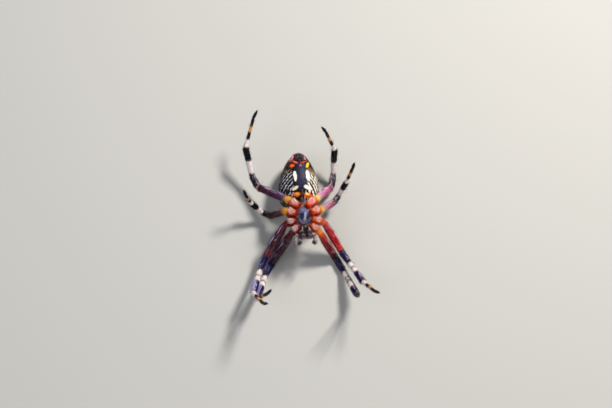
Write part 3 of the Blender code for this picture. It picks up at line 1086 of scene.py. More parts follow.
# The rose ovals are painted highlights on the collar's rims; the coral ones are its own colour.
COLLAR_OVALS = (
    (-1.10, 3.20, 0.32, 0.62, 24, ROSE_HIGHLIGHT),
    (0.84, 2.90, 0.13, 0.55, -10, ROSE_HIGHLIGHT),
    (-0.94, 2.20, 0.18, 0.84, -51, CORAL),
    (0.70, 2.12, 0.15, 0.52, 52, CORAL),
    (-0.62, 2.04, 0.05, 0.34, -55, ROSE_HIGHLIGHT),
    (0.11, 1.34, 0.18, 0.14, 0, color("d27c84")),
)
SPINNERET_OVALS = ((-0.07, 2.98, 0.62, 0.80, 0, MAROON),)
SPINNERET_PLACE = (-0.05, 2.85, 1.9)

# %% Side lines and leaf mark
LINE_SLANT = 0.5
LINES_A_TURN = 22.0
LINE_WANDER = 7.5
# The lines' range: the turn from the underside, and the place along, each with soft edges.
FLANK_TURN = ((0.45, 0.58), (2.0, 2.25))
FLANK_LENGTH = ((-4.0, -3.0), (0.7, 1.5))
LEAF_HALF_TURN = 0.62
LEAF_TAPER = 0.085
LEAF_LOBES = 2.3
BACK_TURN = (1.25, 1.45)


def make_flank_group():
    """Thin pale lines that slant along the sides, broken up, and thicker on one side."""
    inputs = {"Place": "Vector", "Ragged": "Float", "Broken": "Float"}
    tree, wires, entry, leave = new_group("flank_lines", inputs, {"Mask": "Float"})
    x, y, z = wires.split(entry["Place"])
    turn = wires.math("ARCTAN2", wires.math("ABSOLUTE", x), z)
    slant = wires.plus(turn, wires.times(y, LINE_SLANT))
    wavy = wires.times(slant, LINES_A_TURN)
    wavy = wires.plus(wavy, wires.times(entry["Ragged"], LINE_WANDER))
    dense = wires.step(x, -1.0, 2.4)
    edge = wires.minus(0.52, wires.times(dense, 0.62))
    lines = wires.step(wires.math("SINE", wavy), edge, wires.plus(edge, 0.2))
    gaps = wires.minus(0.44, wires.times(dense, 0.06))
    unbroken = wires.step(entry["Broken"], wires.minus(gaps, 0.05), wires.plus(gaps, 0.03))
    lines = wires.times(lines, unbroken)
    flank = wires.window(turn, *FLANK_TURN)
    ends = wires.window(y, *FLANK_LENGTH)
    wires.put(leave["Mask"], wires.times(wires.times(lines, flank), ends))
    return tree


def make_leaf_group():
    """The leaf mark of the back: its cream band, its black edge and the dark middle."""
    inputs = {"Place": "Vector", "Ragged": "Float"}
    outputs = {"Band": "Float", "Edge": "Float", "Back": "Float"}
    tree, wires, entry, leave = new_group("leaf_mark", inputs, outputs)
    x, y, z = wires.split(entry["Place"])
    turn = wires.math("ARCTAN2", wires.math("ABSOLUTE", x), wires.times(z, -1.0))
    lobes = wires.math("ABSOLUTE", wires.math("SINE", wires.times(y, LEAF_LOBES)))
    width = wires.minus(LEAF_HALF_TURN, wires.times(y, LEAF_TAPER))
    width = wires.plus(width, wires.times(lobes, 0.16))
    width = wires.plus(width, wires.times(entry["Ragged"], 0.12))
    back = wires.rest(wires.step(turn, *BACK_TURN))
    inside = wires.minus(width, turn)
    edge = wires.rest(wires.step(wires.math("ABSOLUTE", inside), 0.1, 0.16))
    middle = wires.plus(0.10, wires.times(lobes, 0.12))
    band = wires.times(wires.step(inside, 0.08, 0.14), wires.step(turn, middle, 0.3))
    wires.put(leave["Band"], band)
    wires.put(leave["Edge"], edge)
    wires.put(leave["Back"], back)
    return tree


flank_group = make_flank_group()
leaf_group = make_leaf_group()

# %% All marks in one group
MARK_WOBBLE = 0.35
UNDERSIDE_EDGE = (-0.1, 0.5)
COLLAR_EDGE = (1.05, 1.3)
# The black core between the bars: middle, half width, half length.
CORE = ((0.15, -0.2), 0.95, 2.2)
FIELD_LIGHT = color("35315c")
LINE_LEFT = color("dcd6e2")
LINE_RIGHT = color("fff4e4")
BACK_DARK = color("6b5a48")
BACK_LIGHT = color("c9b79a")


def lay_ovals(wires, table, place, under, whole):
    """Paints a table of ovals over a colour, where the share named under allows it."""
    for x, y, half_width, half_length, turn, shade in table:
        mask = oval_mask(wires, place, (x, y), half_width, half_length, turn, OVAL_SOFTNESS)
        whole = wires.mix(wires.times(mask, under), whole, shade)
    return whole


def make_abdomen_group():
    inputs = {"Place": "Vector", "Ragged": "Float", "Fine": "Float", "Broken": "Float"}
    tree, wires, entry, leave = new_group("abdomen_marks", inputs, {"Color": "Color"})
    shift = wires.times(wires.minus(entry["Ragged"], 0.5), MARK_WOBBLE)
    place = wires.vector("ADD", entry["Place"], wires.join(shift, shift, 0.0))
    x, y, z = wires.split(place)
    under = wires.step(z, *UNDERSIDE_EDGE)
    field = wires.mix(wires.times(entry["Fine"], 0.8), BLUE_BLACK, FIELD_LIGHT)
    core = wires.times(oval_mask(wires, place, *CORE, 0.0, 0.25), under)
    whole = wires.mix(core, INK, field)
    lines = wires.place_group(
        flank_group, Place=entry["Place"], Ragged=entry["Ragged"], Broken=entry["Broken"]
    )["Mask"]
    line_color = wires.mix(wires.step(x, -1.0, 2.0), LINE_LEFT, LINE_RIGHT)
    line_color = wires.mix(wires.step(y, 0.1, 0.8), line_color, TAN)
    whole = wires.mix(lines, whole, line_color)
    leaf = wires.place_group(leaf_group, Place=entry["Place"], Ragged=shift)
    mottle = wires.mix(entry["Fine"], BACK_DARK, BACK_LIGHT)
    side = wires.mix(wires.times(leaf["Back"], 0.45), whole, mottle)
    whole = wires.mix(leaf["Edge"], side, INK)
    whole = wires.mix(leaf["Band"], whole, wires.mix(entry["Fine"], CREAM, IVORY))
    collar = wires.vector("DISTANCE", entry["Place"], SPINNERET_PLACE)
    ring = wires.rest(wires.step(collar, *COLLAR_EDGE))
    patchy = wires.times(wires.step(entry["Broken"], 0.46, 0.60), 0.8)
    whole = wires.mix(ring, whole, wires.mix(patchy, MAROON, CORAL))
    whole = lay_ovals(wires, UNDERSIDE_OVALS, place, under, whole)
    worn = wires.times(under, wires.step(entry["Broken"], 0.38, 0.46))
    whole = lay_ovals(wires, COLLAR_OVALS, place, worn, whole)
    whole = lay_ovals(wires, SPINNERET_OVALS, place, under, whole)
    wires.put(leave["Color"], whole)
    return tree


abdomen_group = make_abdomen_group()
ovals = UNDERSIDE_OVALS + COLLAR_OVALS + SPINNERET_OVALS
print("ovals on the underside:", len(ovals))

# %% [markdown]
# ## The abdomen's skin
# The abdomen is a soft bag, so its skin is one smooth egg with small sunken and raised
# places: a furrow across the front of the underside, a lung cover on each side before it, a
# raised collar with radial folds round the spinnerets, and pairs of dimples where muscles
# pull on the skin. A short hump in front of the furrow carries the tongue that comes later.

# %% Abdomen skin
ABDOMEN_TILT = 9.0
ABDOMEN_TURN = 4.0
ABDOMEN_FROM_STERNUM = Vector((-0.04, 6.15, -2.215))
ABDOMEN_COAT = 0.05
abdomen_middle = sternum_middle + ABDOMEN_FROM_STERNUM
# Pairs of muscle dimples: distance from the middle line, place along, and which face.
DIMPLES = ((0.75, -1.0, 1), (0.78, 0.35, 1), (1.0, -1.9, -1), (0.95, -0.1, -1), (0.7, 1.5, -1))
MIDDLE_LINE = 0.3
FURROW_PLACE = -2.55
FURROW_DEPTH = 0.10
LUNG_PLACES = ((-0.65, -3.0), (1.25, -3.0))
LUNG_HEIGHT = 0.07
HUMP_PLACE = -2.85
HUMP_HEIGHT = 0.12
COLLAR_RADIUS, COLLAR_HEIGHT = 1.12, 0.09
MOAT_RADIUS, MOAT_DEPTH = 0.72, 0.12
FOLD_RADIUS, FOLD_HEIGHT, FOLDS = 1.5, 0.022, 14
DIMPLE_MIDDLE, DIMPLE_DEPTH, DIMPLE_WIDTH = 0.12, 0.05, 0.13
abdomen_turn = (
    Matrix.Rotation(math.radians(ABDOMEN_TILT), 3, "X")
    @ Matrix.Rotation(math.radians(ABDOMEN_TURN), 3, "Z")
)


def abdomen_place(point):
    """A point in the abdomen's own millimetres."""
    return abdomen_turn @ (point - abdomen_middle)


def from_abdomen(place):
    return abdomen_turn.inverted() @ Vector(place) + abdomen_middle


def sculpt_abdomen(point):
    """How far the skin is raised or sunk at a point, in millimetres."""
    place = abdomen_place(point)
    x, y, z = place
    height = 0.0
    if z > 0:
        across = smooth_share(2.0, 1.5, abs(x - MIDDLE_LINE))
        furrow_y = FURROW_PLACE - 0.06 * (x - MIDDLE_LINE) ** 2
        height -= FURROW_DEPTH * bump_at(y - furrow_y, 0.10) * across
        for lung_x, lung_y in LUNG_PLACES:
            height += LUNG_HEIGHT * bump_at(x - lung_x, 0.5) * bump_at(y - lung_y, 0.32)
        height += HUMP_HEIGHT * bump_at(x - MIDDLE_LINE, 0.28) * bump_at(y - HUMP_PLACE, 0.25)
    reach = (place - Vector(SPINNERET_PLACE)).length
    angle = math.atan2(place.x - SPINNERET_PLACE[0], place.z - SPINNERET_PLACE[2])
    collar = COLLAR_HEIGHT * bump_at(reach - COLLAR_RADIUS, 0.22)
    height += collar - MOAT_DEPTH * bump_at(reach - MOAT_RADIUS, 0.16)
    height += FOLD_HEIGHT * math.cos(angle * FOLDS) * bump_at(reach - FOLD_RADIUS, 0.5)
    for dimple_x, dimple_y, face in DIMPLES:
        if z * face > 0:
            distance = math.hypot(abs(x - DIMPLE_MIDDLE) - dimple_x, y - dimple_y)
            height -= DIMPLE_DEPTH * bump_at(distance, DIMPLE_WIDTH)
    return height


# %% Abdomen material and piece
GLINT_SILVER = color("c8c0d4")


def abdomen_material(name, roughness, coat, hairs):
    """The marks for skin or hairs; a hair reads them at its root."""
    material, wires, shader = new_material(
        name, roughness, coat=coat, coat_roughness=0.3, specular=0.06 if hairs else 0.2
    )
    place = wires.stored("place", "Vector")
    ragged = wires.noise(place, 2.2, 3.0)
    broken = wires.noise(place, 3.1, 1.0)
    fine = wires.step(wires.noise(place, 7.0, 4.0), 0.4, 0.7)
    if hairs:
        fine = wires.stored("shade")
    base = wires.place_group(
        abdomen_group, Place=place, Ragged=ragged, Fine=fine, Broken=broken
    )["Color"]
    if hairs:
        glint = wires.stored("glint")
        wires.put(shader["Base Color"], wires.mix(glint, base, GLINT_SILVER))
        return material
    grain = wires.step(wires.noise(place, 18.0, 4.0), 0.35, 0.75)
    wires.put(shader["Base Color"], wires.mix(wires.times(grain, 0.22), base, INK))
    wires.put(shader["Roughness"], wires.plus(wires.times(grain, 0.25), 0.4))
    roughen(wires, shader, place, 16.0, 8.0, 0.6, 0.03)
    return material


abdomen_shape = wrapped_ball("abdomen", 150, 168, ABDOMEN_COAT, 14, sculpt_abdomen)
place_layer = abdomen_shape.verts.layers.float_vector.new("place")
for vertex in abdomen_shape.verts:
    vertex[place_layer] = abdomen_place(vertex.co)
abdomen = finish_piece(
    "skin_abdomen", abdomen_shape, abdomen_material("abdomen_skin", 0.45, 0.04, False),
    ["abdomen"],
)
print("abdomen faces:", len(abdomen.data.polygons))

# %% [markdown]
# ## The shell of the front body
# The back shield (carapace) is a pear-shaped dish with a pit in its middle, shallow grooves
# that run out to the legs, and a raised head. It is brown, and paler along its middle and
# its rims. The breast plate (sternum) is a navy shield with a slanting pale bar. A wrinkled
# red-brown skin closes the spaces between the hips. All of them use one glossy, mottled
# finish, in which a stored stripe says where a third colour shows.

# %% Shell materials
def shell_material(name, dark, light, grain, roughness=0.35, coat=0.4, tint=None):
    """A glossy mottled shell; a third colour can tint its middle stripe."""
    material, wires, shader = new_material(name, roughness, coat=coat, coat_roughness=0.25)
    place = wires.object_mm()
    mottle = wires.step(wires.noise(place, grain, 4.0), 0.3, 0.75)
    base = wires.mix(mottle, color(dark), color(light))
    if tint:
        stripe = wires.stored("stripe")
        base = wires.mix(stripe, base, color(tint))
    wires.put(shader["Base Color"], base)
    gloss = wires.times(mottle, 0.25)
    wires.put(shader["Roughness"], wires.plus(gloss, roughness - 0.08))
    roughen(wires, shader, place, 26.0, 11.0, 0.5)
    return material


def plain_hair_material(name, dark, light, glint_color, roughness=0.45):
    """Hairs between two shades, with a share of pale ones."""
    material, wires, shader = new_material(name, roughness, specular=0.1)
    shade = wires.stored("shade")
    glint = wires.stored("glint")
    base = wires.mix(shade, color(dark), color(light))
    wires.put(shader["Base Color"], wires.mix(glint, base, color(glint_color)))
    return material


def paint_stripe(shape, share):
    """Stores how strongly each point takes the third colour."""
    layer = shape.verts.layers.float.new("stripe")
    for vertex in shape.verts:
        vertex[layer] = share(vertex.co)


def plated(name, node, build, stripe, material, sculpt=None):
    """A striped skin over one solid; build holds its rows, columns, coat and smoothing."""
    shape = wrapped_ball(node, *build, sculpt)
    paint_stripe(shape, stripe)
    return finish_piece(name, shape, material, [node])


# %% Back shield
carapace_low, carapace_high = box_mm("carapace")
carapace_middle = (carapace_low + carapace_high) / 2
CARAPACE_LENGTH = 5.7
CARAPACE_HALF_WIDTH = 2.3
PIT_FROM_FRONT = 3.7
FLAT_FACE = 0.15
SPOKES = (0.75, 1.35, 1.95)


def sculpt_carapace(point):
    """The pit, the head groove and the spoke grooves of the back shield."""
    x = abs(point.x - carapace_middle.x)
    y = point.y - carapace_low.y
    if point.z > carapace_high.z - FLAT_FACE:
        return 0.0
    pit = -0.24 * bump_at(x, 0.16) * bump_at(y - PIT_FROM_FRONT, 0.42)
    groove_y = PIT_FROM_FRONT - 0.3 - x * 1.25
    groove = -0.12 * bump_at(y - groove_y, 0.2) * smooth_share(1.7, 1.3, x)
    head = 0.05 * bump_at(x, 0.9) * bump_at(y - 1.1, 0.9)
    spokes = 0.0
    angle = math.atan2(x, y - PIT_FROM_FRONT)
    reach = math.hypot(x, y - PIT_FROM_FRONT)
    for spoke in SPOKES:
        spokes -= 0.07 * bump_at((angle - spoke) * reach, 0.12) * bump_at(reach - 1.2, 0.6)
    rim = 0.04 * bump_at(point.z - carapace_high.z + 0.3, 0.15)
    return pit + groove + head + spokes + rim


def carapace_stripe(point):
    """Paler along the middle, widest at the head, and along both rims."""
    x = abs(point.x - carapace_middle.x) / CARAPACE_HALF_WIDTH
    y = (point.y - carapace_low.y) / CARAPACE_LENGTH
    middle = bump_at(x, 0.13 + 0.12 * max(0.4 - y, 0))
    margin = bump_at(x - 0.92, 0.12)
    return min(1.0, 0.8 * (middle + margin))


carapace = plated(
    "carapace_shell", "carapace", (90, 110, 0.05, 8), carapace_stripe,
    shell_material("carapace_shell", "2a1812", "5a4030", 5.0, tint="8c7a66"),
    sculpt_carapace,
)
print("back shield faces:", len(carapace.data.polygons))

# %% Breast plate
SCALLOPS = 8.5
SCALLOP_HEIGHT = 0.035


def sculpt_sternum(point):
    """Scalloped sides: the plate juts out between the hips."""
    offset = point - sternum_middle
    angle = math.degrees(math.atan2(abs(offset.x), -offset.y))
    return SCALLOP_HEIGHT * math.cos(math.radians(angle * SCALLOPS)) - 0.03


def sternum_stripe(point):
    """A short pale bar that slants over the middle, and a pale edge, clearer on the left."""
    offset = point - sternum_middle
    bar = bump_at(offset.x - 0.12 - 0.25 * offset.y, 0.10) * bump_at(offset.y + 0.35, 0.45)
    rim = bump_at(math.hypot(offset.x / 0.92, offset.y / 1.25) - 0.86, 0.10)
    return min(0.9 * bar + rim * (0.5 if offset.x < 0 else 0.2), 1.0)


sternum = plated(
    "sternum_plate", "sternum", (44, 56, 0.03, 4), sternum_stripe,
    shell_material("sternum_shell", "080a22", "1c2a6a", 7.0, 0.3, 0.4, tint="d8cfc8"),
    sculpt_sternum,
)
print("breast plate faces:", len(sternum.data.polygons))

# %% Skin between the hips, and the waist
MEMBRANE_HALF_WIDTH = 1.62
MEMBRANE_HALF_LENGTH = 2.05
MEMBRANE_HALF_HEIGHT = 0.42
MEMBRANE_PLACE = 0.12
MEMBRANE_HEIGHT = -0.33
WRINKLE_DEPTH = 0.03
WAIST_RINGS = 9
WAIST_OVERLAP = 0.25
WAIST_RADIUS = 0.33
WAIST_RING_DEPTH = 0.03


def membrane_shape():
    """A low wrinkled cushion that fills the spaces between the hips."""
    shape = ball(48, 96)
    for vertex in shape.verts:
        unit = vertex.co.copy()
        ring = max(math.hypot(unit.x, unit.z), 1e-6)
        blunt = ring ** -0.35
        wrinkle = WRINKLE_DEPTH * math.sin(unit.x * 31) * math.cos(unit.y * 27 + unit.x * 9)
        vertex.co = sternum_middle + Vector((
            unit.x * blunt * (MEMBRANE_HALF_WIDTH - 0.12 * unit.y),
            MEMBRANE_PLACE + unit.y * MEMBRANE_HALF_LENGTH,
            MEMBRANE_HEIGHT + unit.z * blunt * MEMBRANE_HALF_HEIGHT + wrinkle,
        ))
    return shape


membrane = finish_piece(
    "hip_membrane", membrane_shape(),
    shell_material("membrane", "2a0a0c", "6a2420", 6.0, 0.45, 0.2),
)


def pedicel_shape():
    """The ringed waist, wide enough to reach into both halves of the body."""
    low, high = box_mm("pedicel")
    middle = (low + high) / 2
    stations = []
    for step in range(WAIST_RINGS):
        share = step / (WAIST_RINGS - 1)
        y = low.y - WAIST_OVERLAP + share * (high.y - low.y + 2 * WAIST_OVERLAP)
        radius = WAIST_RADIUS + WAIST_RING_DEPTH * math.cos(step * math.pi)
        stations.append((Vector((middle.x, y, middle.z)), radius, share))
    return tube(stations, 40, 24, 1)


pedicel = finish_piece(
    "pedicel_skin", pedicel_shape(), shell_material("pedicel", "20100e", "4c2a20", 6.0),
    ["pedicel"],
)
print("skins under the body:", membrane.name, pedicel.name)

# %% [markdown]
# ## Mouthparts
# Two stout jaws (chelicerae) stand up beside each other, each with a curved fang folded
# across its end. Behind them lie two plates (endites) and a small lip (labium), all three
# paler at their front edges. They are simple rounded bodies, so each is a skin laid over its
# solid, and the stripe layer gives the pale places.

# %% Jaws, plates and lip
PATCH_FROM_MIDDLE = 0.42
PATCH_HEIGHT = 0.64
EDGE_STRENGTH = 0.7


def mouth_material(name, dark, light, pale):
    """Dark shell that fades to a pale colour where the stripe layer says so."""
    return shell_material(name, dark, light, 7.0, 0.3, 0.6, tint=pale)


def front_edge(node, depth):
    """A stripe rule: full at the solid's front edge and gone at a depth behind it."""
    front = box_mm(node)[0].y

    def share(point):
        return EDGE_STRENGTH * smooth_share(front + depth, front, point.y)
    return share


def jaw_stripe(point):
    """A pinkish patch on each jaw."""
    x = abs(abs(point.x - sternum_middle.x) - PATCH_FROM_MIDDLE)
    z = point.z - sternum_middle.z - PATCH_HEIGHT
    return 0.9 * bump_at(x, 0.16) * bump_at(z, 0.32)


jaw_material = mouth_material("jaw_shell", "0e070c", "2a161e", "c47c90")
plate_material = mouth_material("mouth_plate", "0c070c", "241620", "a88c84")
mouth_pieces = []
for side, _ in SIDES:
    mouth_pieces.append(plated(
        f"jaw_{side}", f"chelicera_{side}", (36, 40, 0.02, 5), jaw_stripe, jaw_material,
    ))
    node = f"endite_{side}"
    mouth_pieces.append(plated(
        f"endite_plate_{side}", node, (30, 36, 0.01, 6), front_edge(node, 0.4), plate_material,
    ))
plated(
    "lip", "labium", (24, 30, 0.0, 5), front_edge("labium", 0.25), plate_material,
)
print("jaws, plates and lip:", len(mouth_pieces) + 1)

# %% [markdown]
# ## Feelers and fangs
# The feelers (pedipalps) curl in front of the jaws: pale, ringed, with dark tips. Feelers
# and fangs are bent tubes. Their stations are laid out for the right-hand side of the spider
# and mirrored for the left.

# %% Feelers and fangs
# Stations are measured from the sternum's middle: across, along, up, radius and run.
PALP_STATIONS = (
    (1.17, -2.84, 0.18, 0.22, 0.0), (1.25, -3.07, 0.06, 0.25, 0.5),
    (1.33, -3.30, -0.06, 0.27, 1.0), (1.37, -3.52, -0.11, 0.26, 1.5),
    (1.38, -3.72, -0.11, 0.27, 2.0), (1.34, -3.92, 0.02, 0.26, 2.5),
    (1.28, -4.05, 0.19, 0.27, 3.0), (1.17, -4.11, 0.41, 0.25, 3.5),
    (1.06, -4.14, 0.63, 0.26, 4.0), (0.98, -4.13, 0.85, 0.24, 4.5),
    (0.92, -4.12, 1.03, 0.21, 4.8), (0.87, -4.10, 1.19, 0.13, 5.0),
)
FANG_STATIONS = (
    (0.70, -3.30, 1.07, 0.14, 0.0), (0.66, -3.36, 1.21, 0.13, 0.2),
    (0.50, -3.22, 1.27, 0.12, 0.5), (0.30, -3.08, 1.27, 0.08, 0.8),
    (0.14, -2.98, 1.21, 0.03, 1.0),
)
PALP_RUN = 5.0
PALP_COAT = 0.95
PALP_PINCH = 0.14
PALP_PALE, PALP_AMBER, PALP_DARK = color("cdbcc2"), color("6a3426"), color("160b0c")
PALP_RINGS = (
    (0.0, PALP_AMBER), (0.18, PALP_PALE), (0.36, PALP_PALE), (0.39, PALP_DARK),
    (0.45, PALP_DARK), (0.48, PALP_PALE), (0.66, PALP_PALE), (0.72, PALP_AMBER),
    (0.80, PALP_DARK), (1.0, PALP_DARK),
)


def side_stations(table, sign):
    return [
        (sternum_middle + Vector((sign * x, y, z)), radius, run)
        for x, y, z, radius, run in table
    ]


def palp_thickness(run):
    """A small pinch at each joint, but none near the two ends."""
    place = run - int(run)
    if PLAIN_ENDS < run < PALP_RUN - PLAIN_ENDS:
        return PALP_COAT * (1 - PALP_PINCH * bump_at(min(place, 1 - place), 0.14))
    return PALP_COAT


def palp_material(name, hairs):
    material, wires, shader = new_material(name, 0.38, coat=0.0 if hairs else 0.4)
    run = wires.math("DIVIDE", wires.stored("run"), PALP_RUN)
    base = wires.ramp(run, PALP_RINGS)
    if hairs:
        glint = wires.stored("glint")
        base = wires.mix(glint, base, color("e8dcd8"))
    wires.put(shader["Base Color"], base)
    if not hairs:
        roughen(wires, shader, wires.object_mm(), 26.0, 12.0, 0.4)
    return material


palp_skin_material = palp_material("palp_skin", False)
fang_material = shell_material("fang_horn", "120605", "3a120a", 9.0, 0.18, 0.8)
palps = {}
for side, sign in SIDES:
    shape = tube(side_stations(PALP_STATIONS, sign), 90, 20, 3, palp_thickness)
    palps[side] = finish_piece(
        f"palp_skin_{side}", shape, palp_skin_material, [f"pedipalp_{side}"]
    )
    shape = tube(side_stations(FANG_STATIONS, sign), 40, 16, 2)
    mouth_pieces.append(finish_piece(
        f"fang_horn_{side}", shape, fang_material, [f"fang_{side}"]
    ))
print("mouth pieces:", len(mouth_pieces) + 1, "and palps:", len(palps))

# %% [markdown]
# ## Eyes
# Eight small black eyes stand in two rows on the front of the head, four in the middle and
# a pair at each side. Each is a glossy bead held by a low ring of shell.

# %% Eyes
EYE_NAMES = ("anterior_median", "posterior_median", "anterior_lateral", "posterior_lateral")
# The outline of an eye's ring, as radius and height in shares of the eye's height.
EYE_RING = (
    (0.0, -0.6), (1.32, -0.6), (1.30, -0.05), (1.16, 0.16), (1.0, 0.2), (0.9, 0.05), (0.0, 0.0),
)
BEAD_STEPS = 12
carapace_surface = surface_of("carapace")


def eye_material():
    material, wires, shader = new_material("eye_gloss", 0.06, coat=1.0, coat_roughness=0.02)
    glow = wires.step(wires.noise(wires.object_mm(), 6.0), 0.3, 0.8)
    wires.put(shader["Base Color"], wires.mix(glow, color("050406"), color("1c0c0a")))
    return material


def eye_shapes(node):
    """The bead and its ring, where a packed eye sits on the back shield."""
    shape = solid_copy(node)
    middle = sum((v.co for v in shape.verts), Vector()) / len(shape.verts)
    seat, normal, _, _ = carapace_surface.find_nearest(middle)
    radius = max((v.co - seat).dot(normal) for v in shape.verts)
    shape.free()
    way = (middle - seat).normalized()
    bead = [(0.0, -0.3)]
    for step in range(BEAD_STEPS + 1):
        angle = math.radians(-25 + step * 115 / BEAD_STEPS)
        bead.append((math.cos(angle) * 0.92, math.sin(angle)))
    bead = [(r * radius, h * radius) for r, h in bead[:-1]] + [(0.0, radius)]
    ring = [(r * radius, h * radius) for r, h in EYE_RING]
    return lathe(bead, 24, seat, way), lathe(ring, 24, seat, way)


beads, rings, eye_nodes = [], [], []
for name in EYE_NAMES:
    for side, _ in SIDES:
        bead, ring = eye_shapes(f"eye_{name}_{side}")
        beads.append(bead)
        rings.append(ring)
        eye_nodes.append(f"eye_{name}_{side}")
finish_piece("eyes", joined(beads), eye_material(), eye_nodes, sharp=50)
finish_piece(
    "eye_rings", joined(rings), shell_material("eye_ring", "100a0a", "2c1c18", 8.0),
    sharp=50,
)
print("eyes:", len(eye_nodes))

# %% [markdown]
# ## Spinnerets and the tongue of the epigyne
# Silk leaves through six short fingers that meet in a rosette, with a small cone in their
# middle, another before them and a lid behind. Each is turned on a lathe from one stepped
# outline, in dark skin, and bristles fringe them later. The egg opening further forward is
# covered by a short wrinkled tongue.

# %% Spinnerets
# Each finger: angle round the rosette, distance out, length, radius, lean inwards. The last
# three are the lid and the two cones.
FINGERS = (
    (-42, 0.42, 0.56, 0.26, 0.40), (42, 0.42, 0.56, 0.26, 0.40),
    (-100, 0.24, 0.46, 0.14, 0.15), (100, 0.24, 0.46, 0.14, 0.15),
    (-138, 0.46, 0.56, 0.24, 0.45), (138, 0.46, 0.56, 0.24, 0.45),
    (180, 0.56, 0.34, 0.20, 0.30), (0, 0.10, 0.36, 0.13, 0.0), (0, 0.62, 0.22, 0.17, 0.2),
)
# The outline of a finger, as shares of its radius and its length.
FINGER_FOOT = -0.3
FINGER_OUTLINE = (
    (1.05, 0.2), (1.0, 0.5), (0.82, 0.55), (0.86, 0.72), (0.6, 0.93), (0.25, 1.0), (0.0, 1.0),
)
FINGER_SINK = 0.05


def finger_outline(length, radius):
    foot = [(0.0, FINGER_FOOT), (radius * 0.95, FINGER_FOOT)]
    return foot + [(radius * wide, length * high) for wide, high in FINGER_OUTLINE]


def spinneret_shapes():
    """The rosette stands on the rear end, square to the skin there."""
    seat = from_abdomen(SPINNERET_PLACE)
    nearest, normal, _, _ = surface_of("abdomen").find_nearest(seat)
    out = normal.normalized()
    front = Vector((0, -1, 0))
    front = (front - out * front.dot(out)).normalized()
    across = out.cross(front)
    fingers = []
    for angle, reach, length, radius, lean in FINGERS:
        turn = math.radians(angle)
        away = front * math.cos(turn) + across * math.sin(turn)
        place = nearest + away * reach - out * FINGER_SINK
        way = out - away * lean
        fingers.append(lathe(finger_outline(length, radius), 20, place, way))
    return fingers


spinnerets = finish_piece(
    "spinneret_rosette", joined(spinneret_shapes()),
    shell_material("spinneret_skin", "0a0407", "3a1c28", 9.0, 0.4, 0.2),
    ["spinnerets"], sharp=50,
)
print("fingers, cones and lid:", len(FINGERS))

# %% Tongue of the epigyne
# Stations along it: x and y in the abdomen's own millimetres, height over the skin, radius.
EPIGYNE = (
    (0.30, -3.02, -0.10, 0.24), (0.30, -2.90, 0.06, 0.23), (0.29, -2.72, 0.17, 0.15),
    (0.28, -2.50, 0.20, 0.11), (0.27, -2.32, 0.16, 0.10), (0.27, -2.22, 0.12, 0.06),
)
WRINKLE = 0.06


def epigyne_shape():
    """A tongue that rises in front of the furrow and lies back over it."""
    surface = surface_of("abdomen")
    stations = []
    for index, (x, y, lift, radius) in enumerate(EPIGYNE):
        above = from_abdomen((x, y, 4.0))
        down = from_abdomen((x, y, 0.0)) - above
        hit, normal, _, _ = surface.ray_cast(above, down.normalized())
        wrinkle = 1 + WRINKLE * (-1) ** index
        share = index / (len(EPIGYNE) - 1)
        stations.append((hit + normal * lift, radius * wrinkle, share))
    return tube(stations, 50, 20, 1)


tongue = finish_piece(
    "epigyne_tongue", epigyne_shape(),
    shell_material("epigyne_shell", "1a070c", "6a2c1e", 7.0, 0.3, 0.6),
)
print("tongue faces:", len(tongue.data.polygons))

# %% [markdown]
# ## Hairs
# Hairs are real meshes: each is a thin three-sided cone with a bend in its middle, and all
# hairs of one kind on a skin are one piece. Roots are scattered over the skin's triangles by
# area, thicker where a density rule says so. On legs, feelers and abdomen a hair takes its
# colour from the place of its root, so the coat repeats the skin's marks. In the map named
# OFBake each hair is a tiny patch at its root's place on the skin's unwrap.

# %% Roots
STORED_LAYERS = ("run", "top", "chart", "lie", "place")


def unit_rows(rows):
    length = np.linalg.norm(rows, axis=1)[:, None]
    return rows / np.maximum(length, 1e-9)


def skin_layers(skin):
    """A skin's points, normals and stored layers as arrays with one row a point."""
    mesh = skin.data
    count = len(mesh.vertices)
    layers = {"co": np.empty(count * 3), "normal": np.empty(count * 3)}
    mesh.vertices.foreach_get("co", layers["co"])
    mesh.vertex_normals.foreach_get("vector", layers["normal"])
    layers["co"] /= MM
    for layer in mesh.attributes:
        if layer.domain == "POINT" and layer.name in STORED_LAYERS:
            size = 3 if layer.data_type == "FLOAT_VECTOR" else 1
            layers[layer.name] = np.empty(count * size)
            layer.data.foreach_get("vector" if size == 3 else "value", layers[layer.name])
    return {name: values.reshape(count, -1) for name, values in layers.items()}


def scatter(skin, count, density, random):
    """Roots spread over a skin; density weighs each triangle by its stored layers."""
    layers = skin_layers(skin)
    mesh = skin.data
    mesh.calc_loop_triangles()
    corners = np.empty(len(mesh.loop_triangles) * 3, int)
    mesh.loop_triangles.foreach_get("vertices", corners)
    corners = corners.reshape(-1, 3)
    a, b, c = (layers["co"][corners[:, i]] for i in range(3))
    area = np.linalg.norm(np.cross(b - a, c - a), axis=1)
    middles = {name: values[corners].mean(axis=1) for name, values in layers.items()}
    weight = area * density(middles)
    chosen = random.choice(len(corners), size=count, p=weight / weight.sum())
    shares = random.dirichlet((1.0, 1.0, 1.0), size=count)[:, :, None]
    rows = corners[chosen]
    return {name: (values[rows] * shares).sum(axis=1) for name, values in layers.items()}


# %% Hairs from roots
HAIR_PATCH = 0.003
# Hairs that meet the floor bend along it, at this height.
LOWEST_BEND = 0.03
HAIR_CORNERS = 7
# One hair's faces: two rings of three corners, a tip and the closed foot.
HAIR_FACES = (
    (0, 1, 4, 3), (1, 2, 5, 4), (2, 0, 3, 5), (3, 4, 6), (4, 5, 6), (5, 3, 6), (2, 1, 0),
)
HAIR_PATCH_PLACES = ((0, 0), (0.5, 0), (1, 0), (0, 0.5), (0.5, 0.5), (1, 0.5), (0.5, 1))
ROOT_DEPTH = 0.02
MIDDLE_WIDTH = 0.8
